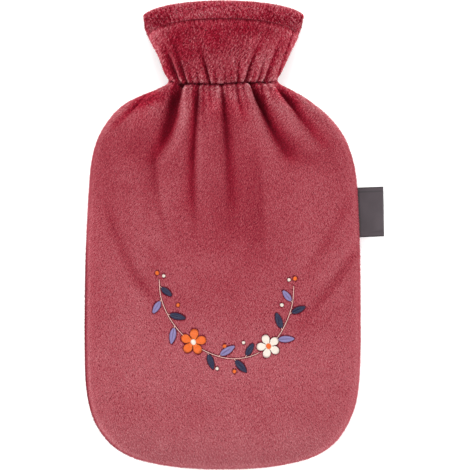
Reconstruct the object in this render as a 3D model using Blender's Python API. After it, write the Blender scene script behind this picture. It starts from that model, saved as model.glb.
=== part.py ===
"""A plush hot water bottle cover, lying on its back: two cloth panels that make a hollow bag with a
gathered neck and a flared open collar, and a folded woven tab in the right side seam.

+X is to the right as seen face on, +Y runs from the bottom to the collar, +Z is up, away from the
surface. The origin is on the surface, under the middle of the body. Tables are in millimetres.
"""

import bmesh
import bpy
import numpy as np

MM = 0.001

# Driving dimensions
WALL = 3.0  # the plush and its backing, taken as one sheet
SEAM_GAP = 0.3  # between the two panels where they are sewn edge to edge
NECK_ALONG = 156.0  # the gathered line
FRONT_SIDE_END = 189.0  # where the side seams stop, at the front rim's ends
BACK_SIDE_END = 202.5  # the back rim's ends, past the side seams
FRONT_RIM_BOW = 12.0  # how far the middle of each rim stands above its ends
BACK_RIM_BOW = 13.0
RIM_ROUNDING = 2.3  # exponent of the rims' bow
EDGE_ROUNDING = 2.15  # exponent of the rounded edge's profile: 2 is an ellipse
GATHER_GROOVE = 3.2  # depth of the drawn-in line at the neck
GATHER_GROOVE_WIDTH = 5.5
BODY_CROWN = 1.8  # how much the middle of the filled body stands over its shoulders
FOLD_CLEAR = 9.0  # folds die out this near a seam
FOLD_AT_NECK = 0.45  # share of a fold's depth where it starts, at the neck line

# The outline seen face on, from the lower corners up to the collar: one row for each station.
SIDE_COLUMNS = ("along", "left", "right")
SIDE_ROWS = (
    (-101.5, -82.2, 82.2),
    (-98.8, -84.6, 84.5),
    (-94.0, -88.3, 87.8),
    (-86.0, -92.8, 92.0),
    (-76.0, -96.2, 95.8),
    (-62.0, -98.5, 98.2),
    (-40.0, -99.4, 99.4),
    (0.0, -99.4, 99.5),
    (32.0, -98.8, 99.2),
    (60.0, -97.4, 98.2),
    (82.0, -95.9, 97.0),
    (97.0, -94.6, 95.0),
    (108.0, -92.4, 91.8),
    (118.0, -88.8, 87.4),
    (127.0, -83.6, 81.0),
    (135.0, -77.0, 73.2),
    (141.5, -69.4, 65.0),
    (147.0, -58.6, 57.2),
    (151.5, -47.4, 49.0),
    (155.0, -40.6, 42.2),
    (158.5, -39.0, 40.3),
    (163.0, -41.4, 42.2),
    (170.0, -43.8, 45.4),
    (178.0, -47.0, 48.8),
    (186.0, -51.4, 52.8),
    (193.0, -54.8, 56.4),
    (199.0, -56.4, 58.4),
    (202.5, -56.6, 58.8),
)

# The bottom edge between the lower corners.
BOTTOM_COLUMNS = ("across", "along")
BOTTOM_ROWS = (
    (-82.2, -101.5),
    (-79.6, -104.0),
    (-75.0, -107.6),
    (-66.5, -112.3),
    (-45.5, -118.2),
    (-22.0, -121.1),
    (0.0, -121.7),
    (22.0, -121.1),
    (45.5, -118.2),
    (66.5, -112.3),
    (75.0, -107.6),
    (79.6, -104.0),
    (82.2, -101.5),
)

# Heights along the cover: the side seam's, and the front's and back's in the middle.
# "shoulder" is how far in from the seam the rounded edge runs, front and back.
HEIGHT_COLUMNS = ("along", "seam", "front", "back", "front_shoulder", "back_shoulder")
HEIGHT_ROWS = (
    (-122.0, 10.0, 27.0, 0.0, 33.0, 20.0),
    (-95.0, 10.0, 29.0, 0.0, 35.0, 21.0),
    (-60.0, 10.0, 30.0, 0.0, 36.0, 22.0),
    (40.0, 10.0, 30.0, 0.0, 37.0, 22.0),
    (95.0, 10.5, 29.5, 0.0, 38.0, 24.0),
    (125.0, 12.0, 29.5, 0.0, 39.0, 26.0),
    (143.0, 15.0, 32.0, 0.0, 40.0, 30.0),
    (156.0, 16.5, 33.0, 0.0, 40.0, 36.0),
    (170.0, 16.5, 35.5, 0.0, 45.0, 40.0),
    (184.0, 15.5, 38.0, 0.0, 52.0, 45.0),
    (190.0, 13.5, 38.5, 0.0, 55.0, 48.0),
    (203.0, 5.0, 39.0, 0.0, 57.0, 52.0),
    (216.0, 4.5, 39.0, 0.0, 57.0, 52.0),
)

# Gather folds, each a soft trough that starts at the neck line and fades out along its reach.
# Below the neck they run down the body, above it up the collar; a negative depth is a ridge.
# Columns of the four tables: x_neck, x_middle, x_end, reach, depth, width_neck, width_end
FRONT_BODY_FOLDS = (
    (-30.5, -41.5, -47.5, 84.0, 4.6, 9.0, 18.0),
    (-27.5, -28.5, -30.0, 17.0, 1.8, 4.0, 5.0),
    (-17.2, -17.2, -22.5, 62.0, 3.8, 6.0, 13.0),
    (-10.5, -10.5, -11.0, 15.0, 1.6, 4.0, 5.0),
    (0.0, 2.2, 4.5, 74.0, 3.4, 6.0, 14.0),
    (10.4, 11.5, 12.5, 20.0, 2.2, 4.5, 6.5),
    (20.5, 33.0, 50.0, 62.0, 5.0, 6.5, 15.0),
    (27.5, 30.0, 33.0, 16.0, 1.6, 4.0, 5.0),
    (37.0, 52.0, 68.0, 46.0, 3.8, 6.0, 13.0),
    (-37.0, -56.0, -75.0, 54.0, -2.2, 12.0, 20.0),
    (-24.0, -30.0, -34.0, 60.0, -2.0, 7.0, 16.0),
    (-8.5, -9.0, -9.0, 60.0, -1.6, 8.0, 17.0),
    (13.5, 21.0, 30.0, 58.0, -2.0, 8.0, 16.0),
    (30.0, 44.0, 56.0, 50.0, -2.2, 8.0, 14.0),
)
FRONT_COLLAR_FOLDS = (
    (-31.7, -35.0, -40.0, 21.0, 3.0, 5.0, 7.0),
    (-25.0, -27.0, -31.0, 28.0, 3.4, 5.0, 8.0),
    (-17.0, -17.5, -19.0, 15.0, 1.8, 4.5, 6.0),
    (-8.6, -11.0, -14.0, 28.0, 3.2, 5.0, 9.0),
    (1.5, 2.0, 2.0, 14.0, 1.8, 5.0, 6.0),
    (11.2, 11.2, 11.2, 16.0, 2.6, 4.5, 6.5),
    (18.0, 21.0, 24.5, 22.0, 3.2, 5.0, 7.0),
    (26.6, 30.5, 36.0, 27.0, 3.2, 5.0, 7.5),
    (33.5, 36.5, 41.0, 17.0, 2.2, 4.5, 6.0),
)
BACK_BODY_FOLDS = (
    (-30.0, -38.0, -45.0, 50.0, 4.0, 7.0, 15.0),
    (-20.0, -23.0, -26.0, 28.0, 2.4, 5.5, 9.0),
    (-9.0, -10.0, -12.0, 46.0, 3.4, 6.5, 13.0),
    (2.0, 3.0, 3.0, 26.0, 2.2, 5.5, 9.0),
    (12.0, 15.0, 19.0, 48.0, 3.6, 6.5, 13.0),
    (23.0, 29.0, 33.0, 24.0, 2.4, 5.5, 9.0),
    (31.0, 41.0, 50.0, 44.0, 3.6, 7.0, 14.0),
)
BACK_COLLAR_FOLDS = (
    (-29.0, -33.0, -38.0, 26.0, 2.8, 6.0, 9.0),
    (-17.0, -19.0, -21.0, 30.0, 3.0, 6.0, 10.0),
    (-5.0, -5.0, -6.0, 22.0, 2.6, 6.0, 9.0),
    (8.0, 9.0, 11.0, 32.0, 3.0, 6.0, 10.0),
    (20.0, 23.0, 27.0, 24.0, 2.8, 6.0, 9.0),
    (30.0, 34.0, 40.0, 28.0, 2.6, 6.0, 9.0),
)

# Slack places in the filled front: shallow dips, and low swells with a negative depth.
# Columns: across, along, half_width, half_length, depth
FRONT_SLACK = (
    (-52.0, 2.0, 17.0, 22.0, 1.4),
    (56.0, -16.0, 16.0, 18.0, 1.5),
    (24.0, -40.0, 20.0, 13.0, 1.2),
    (4.0, 62.0, 22.0, 40.0, 1.6),
    (-62.0, 62.0, 20.0, 34.0, -1.2),
    (66.0, 40.0, 18.0, 38.0, -1.2),
    (-30.0, -62.0, 34.0, 18.0, -1.2),
    (44.0, -74.0, 30.0, 16.0, -1.0),
    (-4.0, 178.0, 20.0, 12.0, -1.8),
)

# Rows of the sheet: distances in from the bottom edge where it curves, then even steps.
BOTTOM_STEPS = (0.0, 1.0, 3.4, 7.4, 13.0, 20.0, 29.0, 40.0)
BODY_STEP = 12.0
SHOULDER_ALONG = 96.0
SHOULDER_STEP = 6.5
GATHER_ALONG = 128.0
GATHER_STEP = 3.5
# Columns: shares of a row in from the side seam where it curves, then even steps. They run straight
# down from the neck in the middle and fan out towards the sides.
FRONT_SIDE_SHARES = (0.0, 0.005, 0.017, 0.037, 0.065, 0.105, 0.155)
BACK_SIDE_SHARES = (0.0, 0.009, 0.03, 0.065, 0.11, 0.17)
COLUMN_SPREAD = 40.0  # the half width over which the middle columns keep the neck's spacing
FRONT_FAN = 2.5  # exponents: the higher, the nearer the sides the columns fan out
BACK_FAN = 1.0
FRONT_COLUMNS_INSIDE = 31
BACK_COLUMNS_INSIDE = 19
BACK_COARSENING = 1.35  # the back's rows are this much further apart

# The folded woven tab in the right side seam.
LABEL_MIDDLE = 63.0
LABEL_LENGTH = 36.0  # along the seam
LABEL_REACH = 18.0  # out from the seam to the fold
LABEL_LAYER = 0.55
LABEL_GAP = 0.5  # between the tab's two layers
LABEL_CLEAR = 0.35  # from the panels' edges to the tab's root
LABEL_DROOP = 1.6  # how far the fold hangs below the seam
LABEL_SKEW = 0.8  # its far side leans along the cover
LABEL_STATIONS = 10
LABEL_FOLD_STEPS = 8


def column(rows, columns, name):
    return np.array([row[columns.index(name)] for row in rows])


def curve_through(stations, values, at):
    """A smooth curve through a table's values: one cubic between each two stations."""
    slopes = np.gradient(values, stations)
    at = np.clip(at, stations[0], stations[-1])
    index = np.clip(np.searchsorted(stations, at) - 1, 0, len(stations) - 2)
    span = stations[index + 1] - stations[index]
    t = (at - stations[index]) / span
    return (
        values[index] * (1 + 2 * t) * (1 - t) ** 2
        + slopes[index] * span * t * (1 - t) ** 2
        + values[index + 1] * t * t * (3 - 2 * t)
        + slopes[index + 1] * span * t * t * (t - 1)
    )


def soft_step(value, low, high):
    t = np.clip((value - low) / (high - low), 0.0, 1.0)
    return t * t * (3 - 2 * t)


def side_at(along, side):
    return curve_through(
        column(SIDE_ROWS, SIDE_COLUMNS, "along"), column(SIDE_ROWS, SIDE_COLUMNS, side), along
    )


def bottom_at(across):
    return curve_through(
        column(BOTTOM_ROWS, BOTTOM_COLUMNS, "across"),
        column(BOTTOM_ROWS, BOTTOM_COLUMNS, "along"),
        across,
    )


def height_at(along, name):
    return curve_through(
        column(HEIGHT_ROWS, HEIGHT_COLUMNS, "along"),
        column(HEIGHT_ROWS, HEIGHT_COLUMNS, name),
        along,
    )


def seam_line():
    """Points along the sewn edge: down the left side, along the bottom and up the right side."""
    along = np.linspace(SIDE_ROWS[-1][0], SIDE_ROWS[0][0], 180)
    across = np.linspace(BOTTOM_ROWS[0][0], BOTTOM_ROWS[-1][0], 90)[1:-1]
    left = np.column_stack([side_at(along, "left"), along])
    bottom = np.column_stack([across, bottom_at(across)])
    right = np.column_stack([side_at(along, "right"), along])[::-1]
    return np.concatenate([left, bottom, right])


def seam_distance(points):
    """How far in from the sewn edge each point lies, seen face on."""
    line = seam_line()
    start, step = line[:-1], np.diff(line, axis=0)
    found = np.empty(len(points))
    for index, point in enumerate(points):
        share = ((point - start) * step).sum(axis=1) / (step**2).sum(axis=1)
        nearest = start + np.clip(share, 0, 1)[:, None] * step
        found[index] = np.sqrt(((point - nearest) ** 2).sum(axis=1).min())
    return found


def row_stations(coarsening, side_end, rim_bow):
    """Where each row of the sheet crosses the middle line, from the bottom edge to the rim."""
    bottom = BOTTOM_ROWS[len(BOTTOM_ROWS) // 2][1]
    top = side_end + rim_bow
    stations = [bottom + step for step in BOTTOM_STEPS]
    for stop, step in (
        (SHOULDER_ALONG, BODY_STEP),
        (GATHER_ALONG, SHOULDER_STEP),
        (top, GATHER_STEP),
    ):
        count = max(1, round((stop - stations[-1]) / (step * coarsening)))
        stations += list(np.linspace(stations[-1], stop, count + 1)[1:])
    return np.array(stations)


def column_shares(side_shares, inside):
    """Where each column crosses a row, from -1 at the left seam to 1 at the right."""
    edge = [1 - share for share in side_shares]
    middle = list(np.linspace(edge[-1], -edge[-1], inside + 2)[1:-1])
    return np.array([-share for share in edge] + middle[::-1] + edge[::-1])


def face_on_grid(side_end, rim_bow, coarsening, shares, fan):
    """The sheet's rows and columns seen face on: the first row follows the bottom edge, the last
    one the rim's bow, and the rows between straighten out."""
    stations = row_stations(coarsening, side_end, rim_bow)
    corner = SIDE_ROWS[0][0]
    bottom, top = stations[0], stations[-1]
    level = -bottom / 3  # past here the rows no longer follow the bottom edge
    rise = NECK_ALONG - 6.0  # from here up they follow the rim
    grid = np.empty((len(stations), len(shares), 2))
    for index, station in enumerate(stations):
        ends = station
        if station < level:
            ends = corner + (station - bottom) * (level - corner) / (level - bottom)
        if station > rise:
            ends = rise + (station - rise) * (side_end - rise) / (top - rise)
        left, right = side_at(ends, "left"), side_at(ends, "right")
        half = (right - left) / 2
        spread = shares * (COLUMN_SPREAD + (half - COLUMN_SPREAD) * np.abs(shares) ** fan)
        across = (left + right) / 2 + spread
        bow = np.zeros(len(shares))
        if station < level:
            lower = spread / half * BOTTOM_ROWS[-1][0]
            bow = (bottom_at(lower) - corner) / (bottom - corner) * (station - ends)
        if station > rise:
            bow = np.sqrt(1 - np.abs(spread / half) ** RIM_ROUNDING) * (station - ends)
        grid[index] = np.column_stack([across, ends + bow])
    return grid


def rounded_edge(inward, shoulder):
    """0 at the seam, rising steeply and rounding over to 1 at the shoulder."""
    left = 1 - np.clip(inward / shoulder, 0, 1)
    return (1 - left**EDGE_ROUNDING) ** (1 / EDGE_ROUNDING)


def fold_offset(points, folds, upward):
    """The gathers' depth at each point, for the folds on one side of the neck line."""
    away = (points[:, 1] - NECK_ALONG) * (1 if upward else -1)
    total = np.zeros(len(points))
    for x_neck, x_middle, x_end, reach, depth, width_neck, width_end in folds:
        run = np.clip(away / reach, 0, 1)
        path = (
            x_neck * (1 - run) * (1 - 2 * run)
            + x_middle * 4 * run * (1 - run)
            + x_end * run * (2 * run - 1)
        )
        width = width_neck + (width_end - width_neck) * run
        strength = (1 - run) ** 0.8 * (FOLD_AT_NECK + (1 - FOLD_AT_NECK) * soft_step(away, 0, 14))
        strength *= soft_step(away, -3, 3)
        total -= depth * strength * np.exp(-(((points[:, 0] - path) / (width / 2)) ** 2))
    return total


def slack_offset(points, slack):
    total = np.zeros(len(points))
    for across, along, half_width, half_length, depth in slack:
        away = ((points[:, 0] - across) / half_width) ** 2 + ((points[:, 1] - along) / half_length) ** 2
        total -= depth * np.exp(-away)
    return total


def groove_offset(points):
    """The line that the elastic draws in, with the cloth puffed up on both sides of it."""
    away = (points[:, 1] - NECK_ALONG) / GATHER_GROOVE_WIDTH
    return -GATHER_GROOVE * np.exp(-(away**2))


def front_heights(points, inward):
    along = points[:, 1]
    seam = height_at(along, "seam")
    rise = height_at(along, "front") - seam
    middle = 1 - np.clip(points[:, 0] / 99.0, -1, 1) ** 2
    crown = BODY_CROWN * middle * (1 - soft_step(along, 90, 150)) * soft_step(inward, 0, 40)
    return seam + SEAM_GAP / 2 + rise * rounded_edge(inward, height_at(along, "front_shoulder")) + crown


def back_heights(points, inward):
    along = points[:, 1]
    seam = height_at(along, "seam") - SEAM_GAP / 2
    low = height_at(along, "back")
    return seam - (seam - low) * rounded_edge(inward, height_at(along, "back_shoulder"))


def front_folds(points, inward):
    total = fold_offset(points, FRONT_BODY_FOLDS, False) + fold_offset(points, FRONT_COLLAR_FOLDS, True)
    total += slack_offset(points, FRONT_SLACK) + groove_offset(points)
    return total * soft_step(inward, 0, FOLD_CLEAR)


def back_folds(points, inward):
    """The back's gathers only lift it off the surface, so that it lies flat on its ridges."""
    total = fold_offset(points, BACK_BODY_FOLDS, False) + fold_offset(points, BACK_COLLAR_FOLDS, True)
    total += groove_offset(points)
    return np.minimum(total, 0) * soft_step(inward, 0, FOLD_CLEAR)


def outward_normals(surface, facing):
    """Unit normals of a grid of points, pointing the way `facing` says, 1 up or -1 down."""
    normals = np.cross(np.gradient(surface, axis=1), np.gradient(surface, axis=0))
    normals /= np.linalg.norm(normals, axis=2)[..., None]
    return normals * facing


def level_edge_normals(surface, normals):
    """Along the three sewn sides the wall stands square to the seam, so its edge face is level."""
    for edge in ((slice(None), 0), (slice(None), -1), (0, slice(None))):
        line = surface[edge]
        run = np.gradient(line[:, :2], axis=0)
        square = np.column_stack([run[:, 1], -run[:, 0], np.zeros(len(run))])
        square /= np.linalg.norm(square, axis=1)[:, None]
        outward = np.sign((square * normals[edge]).sum(axis=1))[:, None]
        normals[edge] = square * outward
    return normals


def panel_surfaces(grid, heights, folds, facing):
    """The sheet's outer and inner faces as grids of points. Folds move both along the normals of
    the unfolded sheet, so the wall never pinches."""
    rows, columns, _ = grid.shape
    flat = grid.reshape(-1, 2)
    inward = seam_distance(flat)
    plain = np.column_stack([flat, heights(flat, inward)]).reshape(rows, columns, 3)
    normals = level_edge_normals(plain, outward_normals(plain, facing))
    offset = folds(flat, inward).reshape(rows, columns, 1)
    outer = plain + normals * offset
    return outer, outer - normals * WALL


def panel_mesh(outer, inner, facing):
    """One closed sheet from two grids of points, its edge faces joining them all round."""
    rows, columns, _ = outer.shape
    mesh = bmesh.new()
    skins = [
        [[mesh.verts.new(point * MM) for point in row] for row in surface]
        for surface in (outer, inner)
    ]
    for layer, skin in enumerate(skins):
        for i in range(rows - 1):
            for j in range(columns - 1):
                corners = [skin[i][j], skin[i][j + 1], skin[i + 1][j + 1], skin[i + 1][j]]
                if (facing > 0) == (layer == 1):
                    corners.reverse()
                mesh.faces.new(corners)
    border = (
        [(0, j) for j in range(columns)]
        + [(i, columns - 1) for i in range(1, rows)]
        + [(rows - 1, j) for j in range(columns - 2, -1, -1)]
        + [(i, 0) for i in range(rows - 2, 0, -1)]
    )
    for (i, j), (k, m) in zip(border, border[1:] + border[:1]):
        corners = [skins[0][k][m], skins[0][i][j], skins[1][i][j], skins[1][k][m]]
        if facing < 0:
            corners.reverse()
        mesh.faces.new(corners)
    return mesh


def label_mesh():
    """A ribbon folded once at its outer end: its two layers lie a little apart and droop."""
    root = side_at(LABEL_MIDDLE, "right") + LABEL_CLEAR
    half = LABEL_GAP / 2 + LABEL_LAYER
    seam = height_at(LABEL_MIDDLE, "seam")
    reaches = np.linspace(0, LABEL_REACH - half, LABEL_STATIONS)
    turns = np.linspace(0, np.pi, LABEL_FOLD_STEPS + 1)[1:-1]
    outside = (
        [(reach, half) for reach in reaches]
        + [(reaches[-1] + half * np.sin(turn), half * np.cos(turn)) for turn in turns]
        + [(reach, -half) for reach in reaches[::-1]]
    )
    inside_half = LABEL_GAP / 2
    inside = (
        [(reach, -inside_half) for reach in reaches]
        + [
            (reaches[-1] + inside_half * np.sin(turn), -inside_half * np.cos(turn))
            for turn in turns
        ]
        + [(reach, inside_half) for reach in reaches[::-1]]
    )
    section = outside + inside
    mesh = bmesh.new()
    ends = []
    for share in (-0.5, 0.5):
        row = []
        for reach, level in section:
            out = reach / LABEL_REACH
            along = LABEL_MIDDLE + LABEL_LENGTH * share + LABEL_SKEW * out
            edge = side_at(along, "right") - side_at(LABEL_MIDDLE, "right")
            across = root + reach + edge * (1 - out)
            row.append(mesh.verts.new(np.array([across, along, seam + level - LABEL_DROOP * out**2]) * MM))
        ends.append(row)
    for first, second in zip(range(len(section)), list(range(1, len(section))) + [0]):
        mesh.faces.new([ends[0][first], ends[0][second], ends[1][second], ends[1][first]])
    count = len(outside)
    for row in ends:
        for index in range(count - 1):
            far = len(section) - 1 - index
            mesh.faces.new([row[index], row[index + 1], row[far - 1], row[far]])
    bmesh.ops.recalc_face_normals(mesh, faces=mesh.faces)
    return mesh


def cloth_material(name, colour, roughness):
    material = bpy.data.materials.new(name)
    material.use_nodes = True
    shader = material.node_tree.nodes["Principled BSDF"]
    shader.inputs["Base Color"].default_value = (*colour, 1.0)
    shader.inputs["Roughness"].default_value = roughness
    shader.inputs["Metallic"].default_value = 0.0
    material.diffuse_color = (*colour, 1.0)
    return material


def add_node(name, mesh, material):
    data = bpy.data.meshes.new(name)
    mesh.to_mesh(data)
    mesh.free()
    data.shade_smooth()
    data.materials.append(material)
    node = bpy.data.objects.new(name, data)
    bpy.context.scene.collection.objects.link(node)
    return node


def front_panel_mesh():
    shares = column_shares(FRONT_SIDE_SHARES, FRONT_COLUMNS_INSIDE)
    grid = face_on_grid(FRONT_SIDE_END, FRONT_RIM_BOW, 1.0, shares, FRONT_FAN)
    return panel_mesh(*panel_surfaces(grid, front_heights, front_folds, 1), 1)


def back_panel_mesh():
    shares = column_shares(BACK_SIDE_SHARES, BACK_COLUMNS_INSIDE)
    grid = face_on_grid(BACK_SIDE_END, BACK_RIM_BOW, BACK_COARSENING, shares, BACK_FAN)
    return panel_mesh(*panel_surfaces(grid, back_heights, back_folds, -1), -1)


for leftover in list(bpy.data.objects):
    bpy.data.objects.remove(leftover)

plush = cloth_material("rose_plush", (0.42, 0.085, 0.11), 0.95)
ribbon = cloth_material("grey_ribbon", (0.095, 0.075, 0.085), 0.8)

add_node("front_panel", front_panel_mesh(), plush)
add_node("back_panel", back_panel_mesh(), plush)
add_node("side_label", label_mesh(), ribbon)
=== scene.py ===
import math

import bpy
import numpy as np
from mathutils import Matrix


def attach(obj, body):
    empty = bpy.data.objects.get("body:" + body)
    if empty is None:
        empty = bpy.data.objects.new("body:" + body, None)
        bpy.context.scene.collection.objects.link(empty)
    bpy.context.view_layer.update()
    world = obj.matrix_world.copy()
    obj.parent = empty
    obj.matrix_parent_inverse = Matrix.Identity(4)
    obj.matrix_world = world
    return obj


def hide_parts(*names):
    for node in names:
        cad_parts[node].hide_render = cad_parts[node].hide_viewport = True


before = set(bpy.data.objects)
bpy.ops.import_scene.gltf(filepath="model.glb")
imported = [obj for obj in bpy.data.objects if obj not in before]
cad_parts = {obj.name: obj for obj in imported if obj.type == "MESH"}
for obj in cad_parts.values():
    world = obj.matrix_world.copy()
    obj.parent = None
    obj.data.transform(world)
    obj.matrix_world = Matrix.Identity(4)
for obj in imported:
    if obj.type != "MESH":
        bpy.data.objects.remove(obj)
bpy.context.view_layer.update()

bpy.ops.object.select_all(action="DESELECT")
mm = 0.001  # all tables below are in millimetres, in the frame's own axes


def tableOf(columns, rows):  # a short table as one array for each named column
    return dict(zip(columns.split(), np.array(rows, dtype=float).T))


def softStep(value, low, high):  # from 0 to 1 between the two, gently at both ends
    t = np.clip((value - low) / (high - low), 0.0, 1.0)
    return t * t * (3 - 2 * t)


def bell(away, width):  # 1 at no distance, and fading over the width
    return np.exp(-((away / width) ** 2))


def curveThrough(stations, values, at):  # smooth, one cubic between each two stations
    slopes = np.gradient(values, stations)
    at = np.clip(at, stations[0], stations[-1])
    index = np.clip(np.searchsorted(stations, at) - 1, 0, len(stations) - 2)
    span = stations[index + 1] - stations[index]
    t = (at - stations[index]) / span
    return (
        values[index] * (1 + 2 * t) * (1 - t) ** 2
        + slopes[index] * span * t * (1 - t) ** 2
        + values[index + 1] * t * t * (3 - 2 * t)
        + slopes[index + 1] * span * t * t * (t - 1)
    )


def softNoise(across, along, cell, seed):  # from -1 to 1, patches about one cell wide
    lattice = np.random.default_rng(seed).random((257, 257)) * 2 - 1
    x, y = across / cell + 97.3, along / cell + 71.9
    i, j = np.floor(x).astype(int), np.floor(y).astype(int)
    u, v = x - i, y - j
    u, v = u * u * (3 - 2 * u), v * v * (3 - 2 * v)
    i, j = i % 256, j % 256
    low = lattice[i, j] * (1 - u) + lattice[i + 1, j] * u
    high = lattice[i, j + 1] * (1 - u) + lattice[i + 1, j + 1] * u
    return low * (1 - v) + high * v


def fineNoise(across, along, cell, seed):  # the same without its slow part
    step = 1.5 * cell
    beside = [(step, 0.0), (-step, 0.0), (0.0, step), (0.0, -step)]
    slow = sum(softNoise(across + x, along + y, cell, seed) for x, y in beside) / len(beside)
    return softNoise(across, along, cell, seed) - slow


def unit(vectors):
    return vectors / np.maximum(np.linalg.norm(vectors, axis=-1, keepdims=True), 1e-9)


def linear(hexColour):  # sRGB hex to linear, with alpha
    parts = [int(hexColour[i : i + 2], 16) / 255 for i in (1, 3, 5)]
    return (*[c / 12.92 if c <= 0.04045 else ((c + 0.055) / 1.055) ** 2.4 for c in parts], 1.0)


def addNode(tree, kind, settings=None, values=None, links=None):
    node = tree.nodes.new(kind)
    for name, value in (settings or {}).items():
        setattr(node, name, value)
    for name, value in (values or {}).items():
        node.inputs[name].default_value = value
    for name, source in (links or {}).items():
        tree.links.new(source, node.inputs[name])
    return node


def waveScale(period):  # a wave texture's scale for stripes this many millimetres apart
    return math.tau / 20 / (period * mm)


def newMaterial(name, roughness, **sockets):
    material = bpy.data.materials.new(name)
    material.use_nodes = True
    tree = material.node_tree
    shader = tree.nodes["Principled BSDF"]
    shader.inputs["Roughness"].default_value = roughness
    for socket, value in sockets.items():
        shader.inputs[socket.replace("_", " ")].default_value = value
    return material, tree, shader


def cellCorners(left, right, low, high):  # the corners of rectangles on a laid-out map
    around = ((left, low), (right, low), (right, high), (left, high))
    return np.stack([np.stack(at, -1) for at in around], -2)


def facingOut(points, faces, corners):  # turns a closed piece's faces round where they look inwards
    volume = sum((np.cross(points[f[:, 1:-1]], points[f[:, 2:]]) * points[f[:, :1]]).sum() for f in faces)
    flip = 1 if volume > 0 else -1
    return [f[:, ::flip] for f in faces], [c[:, ::flip] for c in corners]


# faces holds arrays of vertex numbers, and corners their places on the laid-out map
def newPiece(name, points, faces, corners, material, attributes=None, normals=None):
    data = bpy.data.meshes.new(name)
    data.vertices.add(len(points))
    data.vertices.foreach_set("co", (points * mm).astype(np.float32).ravel())
    sides = np.concatenate([np.full(len(f), f.shape[1]) for f in faces])
    data.loops.add(int(sides.sum()))
    data.loops.foreach_set("vertex_index", np.concatenate([f.ravel() for f in faces]).astype(np.int32))
    data.polygons.add(len(sides))
    data.polygons.foreach_set("loop_start", (np.cumsum(sides) - sides).astype(np.int32))
    layer = data.uv_layers.new(name="OFBake")
    places = np.concatenate([c.reshape(-1, 2) for c in corners])
    layer.data.foreach_set("uv", places.astype(np.float32).ravel())
    for label, values in (attributes or {}).items():
        data.attributes.new(label, "FLOAT", "POINT").data.foreach_set("value", values.astype(np.float32))
    data.update(calc_edges=True)
    data.shade_smooth()
    if normals is not None:
        data.normals_split_custom_set_from_vertices(normals)
    data.materials.append(material)
    piece = bpy.data.objects.new(name, data)
    bpy.context.scene.collection.objects.link(piece)
    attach(piece, "root")
    return piece


# the cloth's shape, on the folds of its solids
cloth = {
    "colours": ("#560C1C", "#701A2C"),  # of the ground between the tufts, painted deep as the shade there
    "wall": 3.0,  # plush with its backing
    "outerPile": 0.45,  # what the pile takes up of it outside
    "liningPile": 0.9,  # and inside the turned-in collar
    "liningFrom": 150.0,  # along the cover, where the turned-in collar starts
    "mouthEndsFrom": 187.0,  # where the back's collar stands free of the front's
    "bowFrom": 150.0,  # above it the rows of points bow up towards the rim
    "firstRow": 0.5,  # the rows start this close together at the bottom edge, and get wider by a share
    "rowGrowth": 0.12,
    "collarRows": (100.0, 132.0),  # where they come close together again
    "seamGap": 0.3,
    "crown": 1.8,
    "crownWidth": 99.0,
    "foldClear": 9.0,  # how far in from the seam the folds and the creases reach their full depth
    "creaseClear": 5.0,
    "seamDepth": 1.1,  # the seam up the collar's right side
    "seamWidth": 0.9,
    "seamFrom": (158.0, 163.0),
    "foldAtNeck": 0.45,  # share of a fold's depth right beside the elastic
    "foldSetsIn": 14.0,
    "creaseSides": (0.6, 1.7),  # width of a crease towards the middle and outwards, by its half width
    "lip": 0.3,  # how far the cloth doubles up beside a crease, for each of its depth
    "lipAt": 1.7,
    "lipWidth": 0.9,
    "uneven": 0.25,  # the filled cloth is never quite even
    "unevenCell": 9.0,
    "edgeRounding": 2.15,
    "spread": 40.0,  # within it the columns of points stay evenly wide
    "rimTurnSteps": 5,
}

# the outline seen face on, from the lower corners up to the collar
outline = tableOf("along left right", (
    (-101.5, -82.2, 82.2), (-98.8, -84.6, 84.5), (-94, -88.3, 87.8), (-86, -92.8, 92),
    (-76, -96.2, 95.8), (-62, -98.5, 98.2), (-40, -99.4, 99.4), (0, -99.4, 99.5), (32, -98.8, 99.2),
    (60, -97.4, 98.2), (82, -95.9, 97), (97, -94.6, 95), (108, -92.4, 91.8), (118, -88.8, 87.4),
    (127, -83.6, 81), (135, -77, 73.2), (141.5, -69.4, 65), (147, -58.6, 57.2), (151.5, -47.4, 49),
    (155, -40.6, 42.2), (158.5, -39, 40.3), (163, -41.4, 42.2), (170, -43.8, 45.4),
    (178, -47, 48.8), (186, -51.4, 52.8), (193, -54.8, 56.4), (199, -56.4, 58.4),
    (202.5, -56.6, 58.8),
))

bottomEdge = tableOf("across along", (
    (-82.2, -101.5), (-79.6, -104), (-75, -107.6), (-66.5, -112.3), (-45.5, -118.2), (-22, -121.1),
    (0, -121.7), (22, -121.1), (45.5, -118.2), (66.5, -112.3), (75, -107.6), (79.6, -104),
    (82.2, -101.5),
))

# heights of the side seam, of the front's and back's middles, and how far in their edges round over
heights = tableOf("along seam front back frontShoulder backShoulder", (
    (-122, 10, 27, 0, 33, 20),
    (-95, 10, 29, 0, 35, 21),
    (-60, 10, 30, 0, 36, 22),
    (40, 10, 30, 0, 37, 22),
    (95, 10.5, 29.5, 0, 38, 24),
    (125, 12, 29.5, 0, 39, 26),
    (143, 15, 32, 0, 40, 30),
    (156, 16.5, 33, 0, 40, 36),
    (170, 16.5, 35.5, 0, 45, 40),
    (184, 15.5, 38, 0, 52, 45),
    (190, 13.5, 38.5, 0, 55, 48),
    (203, 5, 39, 0, 57, 52),
    (216, 4.5, 39, 0, 57, 52),
))

# where the elastic draws the cloth in: the line wanders a little
neckLine = tableOf("across along", (
    (-60, 158.6), (-38.2, 158.2), (-34.5, 156.4), (-17.3, 155.6), (-3.6, 154.9), (7.2, 155.8),
    (20.2, 156.4), (36, 156.9), (40.3, 158), (60, 158.4),
))

# where the collar's front and back meet on the right, a little inside the outline seen face on
collarSeam = tableOf("along across", (
    (158, 39.4), (164, 40.9), (170, 42.8), (176, 45), (181, 46.8), (186, 48.6), (192, 50.6),
))

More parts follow.
